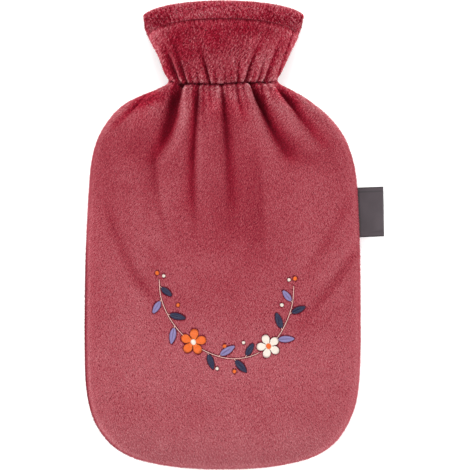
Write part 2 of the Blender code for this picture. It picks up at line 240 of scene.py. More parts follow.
# a fold's places across at the elastic, halfway and at its end, how far it reaches from the elastic,
# its depth, or height where it is negative, and its two widths
foldColumns = "start middle end reach depth startWidth endWidth"

frontPanel = {
    "facing": 1,
    "sideEnd": 189.0,  # how far up its sides reach, and how much higher the rim's middle is
    "rimBow": 12.0,
    "rimRounding": 2.3,  # the rim's corners: squarer with a larger number
    "fan": 2.5,  # how late the columns of points spread towards the sides
    "columns": 136,
    "rowStep": 2.3,
    "collarStep": 1.0,
    "groove": 4.0,  # the hollow that the elastic draws in, and the sharp line in it
    "grooveWidth": 2.6,
    "pinch": 1.0,
    "pinchWidth": 0.8,
    "tightLeft": 1.3,  # drawn in along the left, where the back shows past the seam
    "outerShare": 1.0,  # how many tufts, away from the rim and on the turned-in collar
    "liningShare": 0.7,
    "rimReach": 0.4,  # share of their length right at the rim
    "upturned": 0.0,  # 1 brushes the lining's nap up over the rim
    "openEnds": (),
    "seed": 400,
    "bodyFolds": tableOf(foldColumns, (
        (-30.5, -41.5, -47.5, 84, 4.6, 9, 18),
        (-27.5, -28.5, -30, 17, 1.8, 4, 5),
        (-17.2, -17.2, -22.5, 62, 3.8, 6, 13),
        (-10.5, -10.5, -11, 15, 1.6, 4, 5),
        (0, 2.2, 4.5, 74, 3.4, 6, 14),
        (10.4, 11.5, 12.5, 20, 2.2, 4.5, 6.5),
        (20.5, 33, 50, 62, 5, 6.5, 15),
        (27.5, 30, 33, 16, 1.6, 4, 5),
        (37, 52, 68, 46, 3.8, 6, 13),
        (-37, -56, -75, 54, -2.2, 12, 20),
        (-24, -30, -34, 60, -2, 7, 16),
        (-8.5, -9, -9, 60, -1.6, 8, 17),
        (13.5, 21, 30, 58, -2, 8, 16),
        (30, 44, 56, 50, -2.2, 8, 14),
    )),
    "collarFolds": tableOf(foldColumns, (
        (-31.7, -35, -40, 21, 3, 5, 7),
        (-25, -27, -31, 28, 3.4, 5, 8),
        (-17, -17.5, -19, 15, 1.8, 4.5, 6),
        (-8.6, -11, -14, 28, 3.2, 5, 9),
        (1.5, 2, 2, 14, 1.8, 5, 6),
        (11.2, 11.2, 11.2, 16, 2.6, 4.5, 6.5),
        (18, 21, 24.5, 22, 3.2, 5, 7),
        (26.6, 30.5, 36, 27, 3.2, 5, 7.5),
        (33.5, 36.5, 41, 17, 2.2, 4.5, 6),
    )),
    # the gathers' creases, which only the plush shows: a deep line with a lip on its inner side
    "bodyCreases": tableOf(foldColumns, (
        (-45, -61, -78, 36, 2.8, 3, 8),
        (-37.6, -41, -46, 22, 1.8, 2.6, 5),
        (-31.5, -35.5, -50.5, 62, 5, 6, 8),
        (-27.6, -28, -29, 12, 1.3, 2.2, 3),
        (-24.3, -24.6, -25.2, 21, 1.9, 2.4, 3.6),
        (-20.6, -20.8, -21.2, 16, 1.6, 2, 3),
        (-16.8, -20, -20.5, 94, 2.7, 3, 7),
        (-12.5, -12.8, -13.5, 24, 1.5, 2.4, 4.2),
        (-8.2, -8, -8, 19, 1.9, 2.2, 3.4),
        (-4.6, -4.6, -5, 13, 1.4, 2, 2.8),
        (-1, 3.8, 7, 96, 1.7, 3, 8),
        (3.8, 4.2, 4.8, 15, 1.3, 2, 3),
        (7.2, 7.8, 8.6, 12, 1.3, 2, 2.8),
        (10.6, 12.8, 16.5, 30, 2, 2.6, 4.5),
        (14.8, 16.8, 20, 20, 1.6, 2.2, 3.4),
        (20.5, 33.5, 50, 60, 4.4, 3.6, 9),
        (24.2, 25.8, 28.4, 14, 1.3, 2, 2.8),
        (27.9, 29.6, 32.5, 21, 1.9, 2.4, 3.6),
        (32, 35.6, 41, 18, 1.5, 2.2, 3.4),
        (37.5, 55, 76, 50, 3, 4.2, 10),
    )),
    "collarCreases": tableOf(foldColumns, (
        (-35, -38.5, -42, 14, 1.2, 2, 3),
        (-31, -36.5, -41.2, 27, 3.2, 2.6, 6),
        (-25.8, -30.2, -35.2, 32, 2.8, 2.2, 5),
        (-21, -22, -23, 15, 1.5, 2, 3),
        (-16.5, -17, -18, 11, 1.3, 2, 2.8),
        (-8, -12.2, -16.7, 32, 2.4, 1.8, 4.5),
        (-3.5, -4.2, -5, 14, 1.4, 2, 3),
        (2, 2, 2.2, 11, 1.2, 2, 2.6),
        (6, 6.2, 6.6, 13, 1.3, 2, 2.8),
        (11.2, 11.4, 11.7, 21, 1.7, 2, 3.4),
        (16.2, 22.2, 31.7, 38, 2.6, 1.8, 5),
        (21.5, 23.5, 26, 14, 1.3, 2, 3),
        (25.8, 28.2, 30.7, 17, 1.7, 2, 3.2),
        (30.5, 36, 43.2, 32, 2.8, 2.2, 5),
        (36, 38.5, 41.5, 12, 1.3, 1.8, 2.6),
    )),
    # long soft troughs across the body, and ridges with a negative depth, seen as much by their painted
    # shade and light
    "drapes": tableOf("from to start middle end left right depth light", (
        (124, 36, -50, -46.6, -37.5, 4, 2.4, 0.8, -0.15),
        (128, 84, -52, -54, -53, 8, 5, 0.3, -0.05),
        (126, 40, -19.8, -20.6, -18.5, 3.6, 2.2, 0.6, -0.11),
        (128, 42, 2.2, 5.4, 8.5, 5, 3.5, 0.5, -0.09),
        (118, 22, 24, 28, 31, 10, 2.6, 0.5, -0.1),
        (96, 30, -8, -8.5, -7, 3, 3, -0.4, 0.03),
        (152, 114, -43, -53, -69, 4, 3.5, -0.8, 0),
        (158, 82, -26.5, -30.5, -38, 5, 5, 0, -0.08),
        (150, 104, 31, 42, 58, 4, 4, 0, -0.09),
        (80, -16, -84, -70, -41, 3.5, 5, 0.7, -0.11),
        (70, -2, -77, -62, -38, 4, 5, -0.4, 0.02),
        (80, 10, 95, 77, 54, 4, 3.6, 0.6, -0.09),
        (52, 0, 99, 80, 60, 5.5, 5, -0.6, 0.04),
        (43, -20, 101, 80, 53, 4, 4.2, 0.9, -0.13),
        (24, -26, 97, 78, 58, 5, 5, -0.5, 0.03),
        (50, 18, 16, 11, 4, 5, 8, -0.4, 0.03),
    )),
    "slack": tableOf("across along halfWidth halfLength turn depth", (
        (-52, 2, 17, 22, 0, 1.4),
        (56, -16, 16, 18, 0, 1.5),
        (24, -40, 20, 13, 0, 1.2),
        (4, 62, 22, 40, 0, 1.6),
        (-62, 62, 20, 34, 0, -1.2),
        (66, 40, 18, 38, 0, -1.2),
        (-30, -62, 34, 18, 0, -1.2),
        (44, -74, 30, 16, 0, -1),
        (-4, 178, 20, 12, 0, -1.8),
    )),
}

backPanel = {
    "facing": -1,
    "sideEnd": 202.5,
    "rimBow": 12.5,
    "rimRounding": 2.05,
    "fan": 1.0,
    "columns": 100,
    "rowStep": 3.0,
    "collarStep": 1.2,
    "groove": 3.9,
    "grooveWidth": 2.8,
    "pinch": 0.8,
    "pinchWidth": 0.9,
    "tightLeft": 0.0,
    "outerShare": 0.42,  # the underside needs fewer, since it lies on the table
    "liningShare": 1.0,
    "rimReach": 0.7,
    "upturned": 1.0,
    "openEnds": ((1, 0), (-1, -1)),  # facing and column of the mouth's ends, beside the front
    "seed": 500,
    "bodyFolds": tableOf(foldColumns, (
        (-30, -38, -45, 50, 4, 7, 15),
        (-20, -23, -26, 28, 2.4, 5.5, 9),
        (-9, -10, -12, 46, 3.4, 6.5, 13),
        (2, 3, 3, 26, 2.2, 5.5, 9),
        (12, 15, 19, 48, 3.6, 6.5, 13),
        (23, 29, 33, 24, 2.4, 5.5, 9),
        (31, 41, 50, 44, 3.6, 7, 14),
    )),
    "collarFolds": tableOf(foldColumns, (
        (-29, -33, -38, 26, 2.8, 6, 9),
        (-17, -19, -21, 30, 3, 6, 10),
        (-5, -5, -6, 22, 2.6, 6, 9),
        (8, 9, 11, 32, 3, 6, 10),
        (20, 23, 27, 24, 2.8, 6, 9),
        (30, 34, 40, 28, 2.6, 6, 9),
    )),
    "bodyCreases": tableOf(foldColumns, (
        (-35, -38, -42, 14, 1.2, 2.4, 3.4),
        (-25, -28, -31, 17, 1.2, 2.2, 3.2),
        (-15, -16, -17, 20, 1.3, 2.2, 3.6),
        (-3, -3.4, -4, 14, 1.1, 2, 3),
        (7, 8, 9, 18, 1.3, 2.2, 3.4),
        (18, 20, 23, 15, 1.2, 2.2, 3),
        (27, 31, 35, 19, 1.3, 2.2, 3.4),
    )),
    "collarCreases": tableOf(foldColumns, (
        (-23, -25, -28, 15, 1.2, 2.2, 3.2),
        (-11, -12, -13, 12, 1.1, 2, 2.8),
        (1, 1.4, 2, 16, 1.2, 2.2, 3.2),
        (14, 16, 18, 13, 1.1, 2, 2.8),
        (25, 28, 31, 15, 1.2, 2.2, 3.2),
    )),
    "drapes": None,
    "slack": None,
}


def sideAt(along, side):
    return curveThrough(outline["along"], outline[side], along)


def bottomAt(across):
    return curveThrough(bottomEdge["across"], bottomEdge["along"], across)


def heightAt(along, name):
    return curveThrough(heights["along"], heights[name], along)


def neckAt(across):
    return curveThrough(neckLine["across"], neckLine["along"], across)


def seamLine():  # down the left side, along the bottom and up the right side
    along = np.linspace(outline["along"][-1], outline["along"][0], 180)
    across = np.linspace(bottomEdge["across"][0], bottomEdge["across"][-1], 90)[1:-1]
    left = np.column_stack([sideAt(along, "left"), along])
    bottom = np.column_stack([across, bottomAt(across)])
    right = np.column_stack([sideAt(along, "right"), along])[::-1]
    return np.concatenate([left, bottom, right])


sewnLine = seamLine()


def fromLine(line, points):  # how far the points lie from the line, and the way from it to each
    start, step = line[:-1], np.diff(line, axis=0)
    lengths = (step**2).sum(axis=1)
    found = []
    for few in np.array_split(points, len(points) // 2000 + 1):
        away = few[:, None] - start
        share = np.clip((away * step).sum(axis=2) / lengths, 0, 1)
        away -= share[..., None] * step
        nearest = (away**2).sum(axis=2).argmin(axis=1)
        found.append(away[np.arange(len(few)), nearest])
    found = np.concatenate(found)
    return np.linalg.norm(found, axis=1), unit(found)


def rowStations(panel):  # close together at the bottom edge and in the collar
    bottom, top = bottomEdge["along"].min(), panel["sideEnd"] + panel["rimBow"]
    stations = [bottom]
    while stations[-1] < top:
        step = min(panel["rowStep"], cloth["firstRow"] + cloth["rowGrowth"] * (stations[-1] - bottom))
        collar = softStep(stations[-1], *cloth["collarRows"])
        stations.append(stations[-1] + step + (panel["collarStep"] - step) * collar)
    stations = np.array(stations)
    return bottom + (stations - bottom) * (top - bottom) / (stations[-1] - bottom)


def faceOnGrid(panel):
    stations = rowStations(panel)
    even = np.linspace(-1, 1, panel["columns"])
    shares = 0.2 * even + 0.8 * np.sin(even * math.pi / 2)  # closer together at the sides
    corner = outline["along"][0]
    bottom, top = stations[0], stations[-1]
    level = -bottom / 3  # below it the rows bow down towards the bottom edge
    rise = cloth["bowFrom"]
    grid = []
    for station in stations:
        ends = station
        if station < level:
            ends = corner + (station - bottom) * (level - corner) / (level - bottom)
        if station > rise:
            ends = rise + (station - rise) * (panel["sideEnd"] - rise) / (top - rise)
        left, right = sideAt(ends, "left"), sideAt(ends, "right")
        half = (right - left) / 2
        spread = shares * (cloth["spread"] + (half - cloth["spread"]) * np.abs(shares) ** panel["fan"])
        bow = np.zeros(len(shares))
        if station < level:
            lower = spread / half * bottomEdge["across"][-1]
            bow = (bottomAt(lower) - corner) / (bottom - corner) * (station - ends)
        if station > rise:
            bow = np.sqrt(np.maximum(1 - np.abs(spread / half) ** panel["rimRounding"], 0))
            bow *= station - ends
        grid.append(np.column_stack([(left + right) / 2 + spread, ends + bow]))
    return np.array(grid)


def roundedEdge(inward, shoulder):
    left = 1 - np.clip(inward / shoulder, 0, 1)
    return (1 - left ** cloth["edgeRounding"]) ** (1 / cloth["edgeRounding"])


def foldPath(folds, k, run):
    return (
        folds["start"][k] * (1 - run) * (1 - 2 * run)
        + folds["middle"][k] * 4 * run * (1 - run)
        + folds["end"][k] * run * (2 * run - 1)
    )


def foldOffset(across, along, folds, upward):
    away = (along - neckAt(across)) * (1 if upward else -1)
    total = np.zeros(len(across))
    for k in range(len(folds["start"])):
        run = np.clip(away / folds["reach"][k], 0, 1)
        width = folds["startWidth"][k] + (folds["endWidth"][k] - folds["startWidth"][k]) * run
        strength = (1 - run) ** 0.8 * softStep(away, -3, 3)
        strength *= cloth["foldAtNeck"] + (1 - cloth["foldAtNeck"]) * softStep(away, 0, cloth["foldSetsIn"])
        total -= folds["depth"][k] * strength * bell(across - foldPath(folds, k, run), width / 2)
    return total


# steep towards the cover's middle, where the cloth doubles into a lip, and slowly rising outwards
def creaseOffset(across, along, creases, upward):
    away = (along - neckAt(across)) * (1 if upward else -1)
    total = np.zeros(len(across))
    for k in range(len(creases["start"])):
        run = np.clip(away / creases["reach"][k], 0, 1)
        half = (creases["startWidth"][k] + (creases["endWidth"][k] - creases["startWidth"][k]) * run) / 2
        outward = (across - foldPath(creases, k, run)) * np.sign(creases["middle"][k]) / half
        valley = bell(outward, np.where(outward < 0, *cloth["creaseSides"]))
        lip = cloth["lip"] * bell(outward + cloth["lipAt"], cloth["lipWidth"])
        strength = (1 - run) ** 0.7 * softStep(away, -0.6, 1.2)
        total += creases["depth"][k] * strength * (lip - valley)
    return total


# how much of each drape lies at a place, times its depth or its light
def drapeSum(across, along, drapes, name):
    total = np.zeros(np.shape(across))
    for k in range(len(drapes["from"])):
        run = np.clip((drapes["from"][k] - along) / (drapes["from"][k] - drapes["to"][k]), 0, 1)
        off = across - foldPath(drapes, k, run)
        wide = np.where(off < 0, drapes["left"][k], drapes["right"][k])
        strength = softStep(run, 0, 0.25) * softStep(1 - run, 0, 0.4)
        total += drapes[name][k] * strength * bell(off, wide)
    return total


def patchSum(across, along, patches, name):  # the same for soft oval patches
    total = np.zeros(np.shape(across))
    for k in range(len(patches[name])):
        turn = math.radians(patches["turn"][k])
        x, y = across - patches["across"][k], along - patches["along"][k]
        u = (x * math.cos(turn) + y * math.sin(turn)) / patches["halfWidth"][k]
        v = (y * math.cos(turn) - x * math.sin(turn)) / patches["halfLength"][k]
        total += patches[name][k] * np.exp(-u * u - v * v)
    return total


def atCollarSeam(across, along):  # 1 on the seam up the collar's right side
    off = across - curveThrough(collarSeam["along"], collarSeam["across"], along)
    return bell(off, cloth["seamWidth"]) * softStep(along, *cloth["seamFrom"])


def creasesOf(panel, across, along, inward):
    total = creaseOffset(across, along, panel["bodyCreases"], False)
    total += creaseOffset(across, along, panel["collarCreases"], True)
    total -= panel["pinch"] * np.exp(-np.abs(along - neckAt(across)) / panel["pinchWidth"])
    total *= softStep(inward, 0, cloth["creaseClear"])
    if panel["facing"] > 0:
        total -= cloth["seamDepth"] * atCollarSeam(across, along)
    return total


def foldsOf(panel, across, along, inward):
    total = foldOffset(across, along, panel["bodyFolds"], False)
    total += foldOffset(across, along, panel["collarFolds"], True)
    total -= panel["groove"] * bell(along - neckAt(across), panel["grooveWidth"])
    if panel["slack"] is not None:
        total -= patchSum(across, along, panel["slack"], "depth")
        total -= drapeSum(across, along, panel["drapes"], "depth")
        total -= cloth["uneven"] * softNoise(across, along, cloth["unevenCell"], 5)
    total *= softStep(inward, 0, cloth["foldClear"])
    total += creasesOf(panel, across, along, inward)
    return total - stitchSink(across, along) if panel["facing"] > 0 else np.minimum(total, 0)


def plainHeight(panel, along, inward, across):
    seam = heightAt(along, "seam")
    if panel["facing"] < 0:
        seam = seam - cloth["seamGap"] / 2
        drop = (seam - heightAt(along, "back")) * roundedEdge(inward, heightAt(along, "backShoulder"))
        return seam - drop
    middle = 1 - np.clip(across / cloth["crownWidth"], -1, 1) ** 2
    crown = cloth["crown"] * middle * (1 - softStep(along, 90, 150)) * softStep(inward, 0, 40)
    rise = (heightAt(along, "front") - seam) * roundedEdge(inward, heightAt(along, "frontShoulder"))
    return seam + cloth["seamGap"] / 2 + rise + crown


def plainNormals(panel, across, along, inward, wayIn):
    step = 0.02
    inward = np.maximum(inward, 2 * step)
    height = lambda x, y, depth: plainHeight(panel, y, depth, x)
    rise = (height(across, along, inward + step) - height(across, along, inward - step)) / (2 * step)
    slopeX = (height(across + step, along, inward) - height(across - step, along, inward)) / (2 * step)
    slopeY = (height(across, along + step, inward) - height(across, along - step, inward)) / (2 * step)
    slopes = rise[:, None] * wayIn + np.stack([slopeX, slopeY], 1)
    return unit(np.column_stack([-slopes, np.ones(len(slopes))])) * panel["facing"]


def gridNormals(surface, facing):
    return unit(np.cross(np.gradient(surface, axis=1), np.gradient(surface, axis=0))) * facing


def levelEdges(surface, normals):  # along the sewn sides the wall stands square to the seam
    for edge, outward in (((slice(None), 0), -1), ((slice(None), -1), 1), ((0, slice(None)), 1)):
        run = np.gradient(surface[edge][:, :2], axis=0)
        normals[edge] = unit(np.column_stack([run[:, 1], -run[:, 0], np.zeros(len(run))])) * outward
    return normals


# one grid of points up the outer face, over the rim and down the inner face, with the distance of
# each from the sewn seam and from the rim, and the number of rows on one face
def clothSkin(panel):
    grid = faceOnGrid(panel)
    rows, columns, _ = grid.shape
    across, along = grid.reshape(-1, 2).T
    inward, wayIn = fromLine(sewnLine, grid.reshape(-1, 2))
    beyond = (inward < 1) & (wayIn[:, 0] * across > 0) & (along > outline["along"][2])
    wayIn[beyond] *= -1  # where a straight row cuts across the neck's hollow
    plain = np.column_stack([across, along, plainHeight(panel, along, inward, across)])
    plain = plain.reshape(rows, columns, 3)
    normals = plainNormals(panel, across, along, inward, wayIn).reshape(rows, columns, 3)
    normals = levelEdges(plain, normals)
    folds = foldsOf(panel, across, along, inward)
    lining = cloth["liningPile"] * softStep(along, cloth["liningFrom"], cloth["liningFrom"] + 8)
    outer = plain + normals * (folds - cloth["outerPile"]).reshape(rows, columns, 1)
    inner = plain + normals * (folds - cloth["wall"] + lining).reshape(rows, columns, 1)
    middle, reach = (outer[-1] + inner[-1]) / 2, (outer[-1] - inner[-1]) / 2
    ahead = unit(outer[-1] - outer[-2])
    ahead = unit(ahead - unit(reach) * (ahead * unit(reach)).sum(axis=1, keepdims=True))
    turns = np.linspace(0, math.pi, cloth["rimTurnSteps"] + 2)[1:-1]
    size = np.linalg.norm(reach, axis=1, keepdims=True)
    turned = [middle + reach * math.cos(turn) + ahead * size * math.sin(turn) for turn in turns]
    skin = np.concatenate([outer, np.array(turned), inner[::-1]])
    half = (sideAt(along, "right") - sideAt(along, "left")) / 2
    tight = panel["tightLeft"] * np.clip(-across / half, 0, 1) ** 5
    tight *= softStep(along, -118, -60) * (1 - 0.6 * softStep(along, 20, 90))
    overRim = lambda values: np.concatenate(
        [values, np.repeat(values[-1:], cloth["rimTurnSteps"], 0), values[::-1]]
    )
    skin[..., 0] += overRim(tight.reshape(rows, columns))
    run = np.cumsum(np.linalg.norm(np.diff(skin, axis=0, prepend=skin[:1]), axis=2), axis=0)
    fromRim = np.abs(run - run[rows + cloth["rimTurnSteps"] // 2])
    return skin, overRim(inward.reshape(rows, columns)), fromRim, rows


def mapPlace(skin, i, j):  # where a point of the skin lies on the laid-out map, inside a narrow margin
    return np.stack([0.02 + 0.96 * j / (skin.shape[1] - 1), 0.02 + 0.96 * i / (skin.shape[0] - 1)], -1)


# closes the skin along its three sewn sides, whose narrow strips lie in the map's margin
def clothMesh(name, skin, material):
    margin = 0.012
    rows, columns, _ = skin.shape
    number = np.arange(rows * columns).reshape(rows, columns)
    place = mapPlace(skin, *np.mgrid[0:rows, 0:columns].astype(float))
    around = lambda a: np.stack([a[:-1, :-1], a[:-1, 1:], a[1:, 1:], a[1:, :-1]], 2)
    quads = [around(number).reshape(-1, 4)]
    maps = [around(place).reshape(-1, 4, 2)]
    i = np.arange(rows // 2 - 1)
    middle = rows // 2
    tips, tipMaps = [], []
    for j, shift, flip in ((0, (-margin, 0.0), 1), (columns - 1, (margin, 0.0), -1)):
        strip = [number[i, j], number[i + 1, j], number[rows - 2 - i, j], number[rows - 1 - i, j]]
        quads.append(np.stack(strip, 1)[:, ::flip])
        near, far = place[i, j], place[i + 1, j]
        maps.append(np.stack([near, far, far + shift, near + shift], 1)[:, ::flip])
        tips.append(number[None, middle - 1 : middle + 2, j][:, ::flip])
        at = place[middle - 1, j]
        tipMaps.append(np.array([[at, place[middle, j], at + shift]])[:, ::flip])
    j = np.arange(columns - 1)
    quads.append(np.stack([number[0, j + 1], number[0, j], number[-1, j], number[-1, j + 1]], 1))
    near, far = place[0, j + 1], place[0, j]
    maps.append(np.stack([near, far, far - (0.0, margin), near - (0.0, margin)], 1))
    points = skin.reshape(-1, 3)
    return newPiece(name, points, *facingOut(points, quads + tips, maps + tipMaps), material)


# the pile: short soft tufts, brushed towards the bottom, lying in swirls as hands leave them
pile = {
    "toneStops": (0.2, 0.37, 0.54, 0.75),  # tones of the four colours between the first and the last
    "rose": ("#520815", "#891D2F", "#9D3743", "#B25660", "#C5787E", "#DCA2A5"),  # deepest to lightest
    "crimson": ("#590312", "#930D26", "#AE1D35", "#C43A4F", "#D46776", "#E2989E"),  # painted where the pile is in shade and looks deep
    "density": 7.0,  # tufts for each square millimetre
    "width": 0.42,
    "length": 1.3,
    "collarLength": 1.4,  # times as long where the nap stands up
    "upright": (150.0, 185.0),  # along the cover, where the collar's nap gets up
    "lean": 14.0,  # degrees up from the cloth, lest the nap be seen from behind
    "collarLean": 30.0,
    "wallLean": 40.0,
    "leanSpread": 8.0,
    "roll": 16.0,
    "fall": 0.12,  # how strongly the nap falls, and how much more on the seams' walls
    "wallFall": 1.2,
    "turnSpread": 18.0,
    "swirls": ((42.0, 34.0), (6.0, 26.0), (1.3, 10.0)),  # cell, degrees either way
    "combed": 0.6,  # share of the smaller swirls that is brushed out of the body's nap
    "combedTo": (120.0, 165.0),
    "crossed": 0.22,  # share of the tufts that lie the other way
    "even": 0.85,  # how far the tufts are shaded as one soft surface
    "stray": 0.004,  # share of longer fibres that stand out
    "strayLength": 1.25,
    "strayLean": 62.0,
    "strayWidth": 0.5,
    # painted highlight on the stray fibres
    "strayHighlight": 0.1,
    "speckle": (0.065, 0.05),  # how unlike the tufts' tones are, and how much more on the collar
    "grains": ((0.5, 0.19, 0.15), (0.9, 0.0, 0.24)),  # cell, and the same two for patches of tufts
    "grainSetsIn": (110.0, 170.0),
    # painted shade at each tuft's root and painted light at its tip
    "rootShade": 0.15,
    "tipLight": 0.07,
    "rimShare": 2.5,  # times as many tufts along the rim
    "endShare": 1.5,
    "lineReach": 0.4,  # share of their length on the elastic's line, where they are caught
    "liningReach": 0.8,
    "wallReach": (0.75, 0.2),  # how much longer they are on the seams' walls, below the neck and above
    "pieceLimit": 190000,
}

# patches of painted light and shade, over the folds and where the nap lies another way: lighter, or darker
# with a negative light
napLightAndShadePatches = tableOf("across along halfWidth halfLength turn light", (
    (-48, 44, 9, 30, 38, 0.07),
    (-66, -8, 16, 46, 12, 0.06),
    (0, -38, 90, 28, 0, 0.06),
    (84, 20, 9, 60, 0, 0.01),
    (1, 130, 19, 18, 0, -0.13),
    (-55, 131, 8, 9, -30, -0.09),
    (19, 104, 8, 16, 0, -0.03),
    (-61, 112, 13, 14, 0, -0.13),
    (-57, 142.5, 9, 4.2, 27, -0.3),
    (50, 110, 9, 8, -30, -0.15),
    (62, 101, 9, 5, 0, -0.1),
    (72, 108, 9, 10, 0, -0.06),
    (31, 172, 11, 14, -10, 0.23),
    (-26, 177, 6, 6, 0, -0.1),
    (52, 196, 7, 9, 0, 0.14),
    (26, 156.5, 10, 2.5, 5, 0.12),
    (-44, 36, 10, 12, 0, -0.06),
    (20, 42, 8, 10, 0, -0.05),
    (-50, 146, 6, 4, 27, -0.2),
    (-38.5, 165, 3, 7, 12, -0.12),
    (41, 151, 4, 3.5, -30, -0.16),
    (46.5, 146.5, 9, 4.5, -33, -0.24),
    (12, 149, 20, 4.5, 0, 0.08),
    (42, 188, 6, 8, -15, 0.1),
    (-42, 187, 5, 7, 15, 0.12),
    (-50, 194, 5, 9, 0, 0.08),
    (6, 66, 30, 46, 0, -0.12),
    (-72, 118, 18, 14, 0, -0.05),
    (-4, 24, 12, 9, -25, 0.05),
    (58, 30, 12, 24, -30, 0.04),
    (-84, 96, 12, 34, 20, -0.06),
    (62, -18, 14, 9, 20, -0.06),
    (40, 112, 9, 20, 24, -0.05),
    (-54, 10, 3.5, 14, 45, -0.07),
    (-59, 2, 5, 12, 45, 0.05),
    (-49.6, 36, 3, 3, 0, -0.06),
    (-44, 70, 5, 26, 0, 0.05),
    (-54, 72, 5, 24, 0, -0.05),
    (-33, 187, 7, 8, 0, -0.11),
    (-5, 189, 6, 8, 0, -0.11),
    (16, 195.5, 11, 4, 0, -0.12),
    (-20, 197, 9, 2.6, 6, -0.06),
    (-46, 192.5, 6, 2.6, 12, 0.16),
    (45, 190, 5, 6, 0, 0.08),
    (24, 186, 6, 4, 0, 0.05),
    (0, 165, 20, 6, 0, 0.05),
    (32, 168, 12, 7, 0, 0.06),
    (44, 169, 5, 8, 0, 0.06),
    (-47, 182, 5, 9, 12, 0.12),
    (52, 184, 4, 8, -12, 0.12),
    (2, 150.5, 6, 3, 0, 0.12),
    (20, 158, 8, 3, 0, 0.1),
    (-50, 110, 7, 10, 0, 0.1),
    (-52, 132, 5, 12, -20, 0.04),
    (82, 99, 10, 16, 0, -0.06),
))

# the same on the inner face of the back's collar
liningPatches = tableOf("across along halfWidth halfLength turn light", (
    (-43, 203, 8, 3.8, 15, -0.3),
    (36, 204.5, 11, 4, -8, -0.22),
    (-1, 203, 6, 2, 0, -0.08),
    (11, 205, 4, 3, 0, -0.12),
    (-20, 206, 11, 2.6, 6, 0.14),
    (-6, 209, 9, 3, 0, 0.1),
    (20, 210, 6, 2, 0, 0.14),
))


# the plush's tone, from 0 for the deepest rose to 1 for the lightest, much of it painted light and shade.
# The steps say how much is added, and where it sets in; the lines how much, how far from an edge, the seam
# or the elastic, and how wide
tones = {
    "plain": 0.51,
    "lowerHalf": (0.06, 0, 70),
    "bottom": (0.07, 76, 104),
    "sides": (-0.05, 0, 5),
    "collar": (-0.13, 148, 166),  # painted shade: the collar's nap stands up and looks deeper
    "mouth": (-0.07, 168, 184),
    "trough": 0.05,  # for each millimetre: painted shade in a fold's trough, and painted light on its ridge
    # painted shade in the gathers' creases, and painted highlight on their lips
    "crease": 0.14,
    "lip": 0.2,
    "gathered": (0.6, 0, 16),  # the creases are sharpest beside the elastic
    "deepest": -3.2,
    "deepestGathered": (1.2, 0, 10),
    # painted shade on the elastic's drawn-in line, and painted light on the strips beside it
    "elastic": (-0.45, 0, 0.55),
    "besideElasticLight": (0.17, 2.4, 1.1),
    "rim": (-0.75, 0, 1.2),  # painted shade on the rim's edge, and painted light on the cloth's bend below it
    "belowRimLight": (0.14, 2.8, 1.2),
    # painted shadow along the sewn seam, deepest low on the left, and painted light beside it
    "seam": (-0.06, 0.2, 0.8),
    "seamLowerLeft": (-0.44, 0.2, 0.8),
    "besideSeamLight": (0.07, 2.4, 1.1),
    "besideSeamLightLowerLeft": (0.05, 2.4, 1.1),
    "lowerLeft": (1, 50, 84),  # the steps of 1 say only where another one holds
    "lowerLeftEnds": (1, 10, 60),
    # painted light along the shoulders' edges
    "shoulderEdgeLight": (0.12, 100, 130),
    "shouldersEdge": (1, 1.5, 4),
    # painted shade in the seam up the collar's right side
    "collarSeam": -0.22,
    # painted light on the back's rim, less of it on the lining's side
    "backRimLight": (0.32, 0, 2.4),
    "liningRim": (-0.16, 0, 2.4),
    # painted shadow on the back's edge where it shows past the seam
    "backWallShadow": (-0.62, 1, 4),
    "backWallEnds": (1, 20, 80),
    "collarWall": (1, 150, 164),
    "collarWallEnds": (1, 186, 194),
    # painted light on the lining inside the collar, more at the mouth's ends
    "lining": 0.07,
    "mouthEndsLight": (0.22, 3, 9),
    "mouthEndsTop": (1, 196, 202),
    "clouds": (0.022, 13),  # how much, and how wide
    "smallClouds": (0.01, 5),
    "collarClouds": (0.04, 120, 170),
}

# painted shade in the plush's colour, its depth: 1 where the nap is seen from its side or into it, and
# looks crimson, not rose
shadeDepths = {
    "lining": 0.95,
    "collar": (0.36, 148, 166),
    "mouth": (0.22, 172, 190),
    "patches": 0.2,
    "collarPatches": (4.8, 120, 150),
    "creases": 0.5,
}


def stepOf(amounts, name, at):
    amount, low, high = amounts[name]
    return amount * softStep(at, low, high)


def fadeOf(amounts, name, at):  # a step the other way: all of it at first, and none in the end
    return amounts[name][0] - stepOf(amounts, name, at)


def lineOf(amounts, name, away):
    amount, middle, width = amounts[name]
    return amount * bell(away - middle, width)


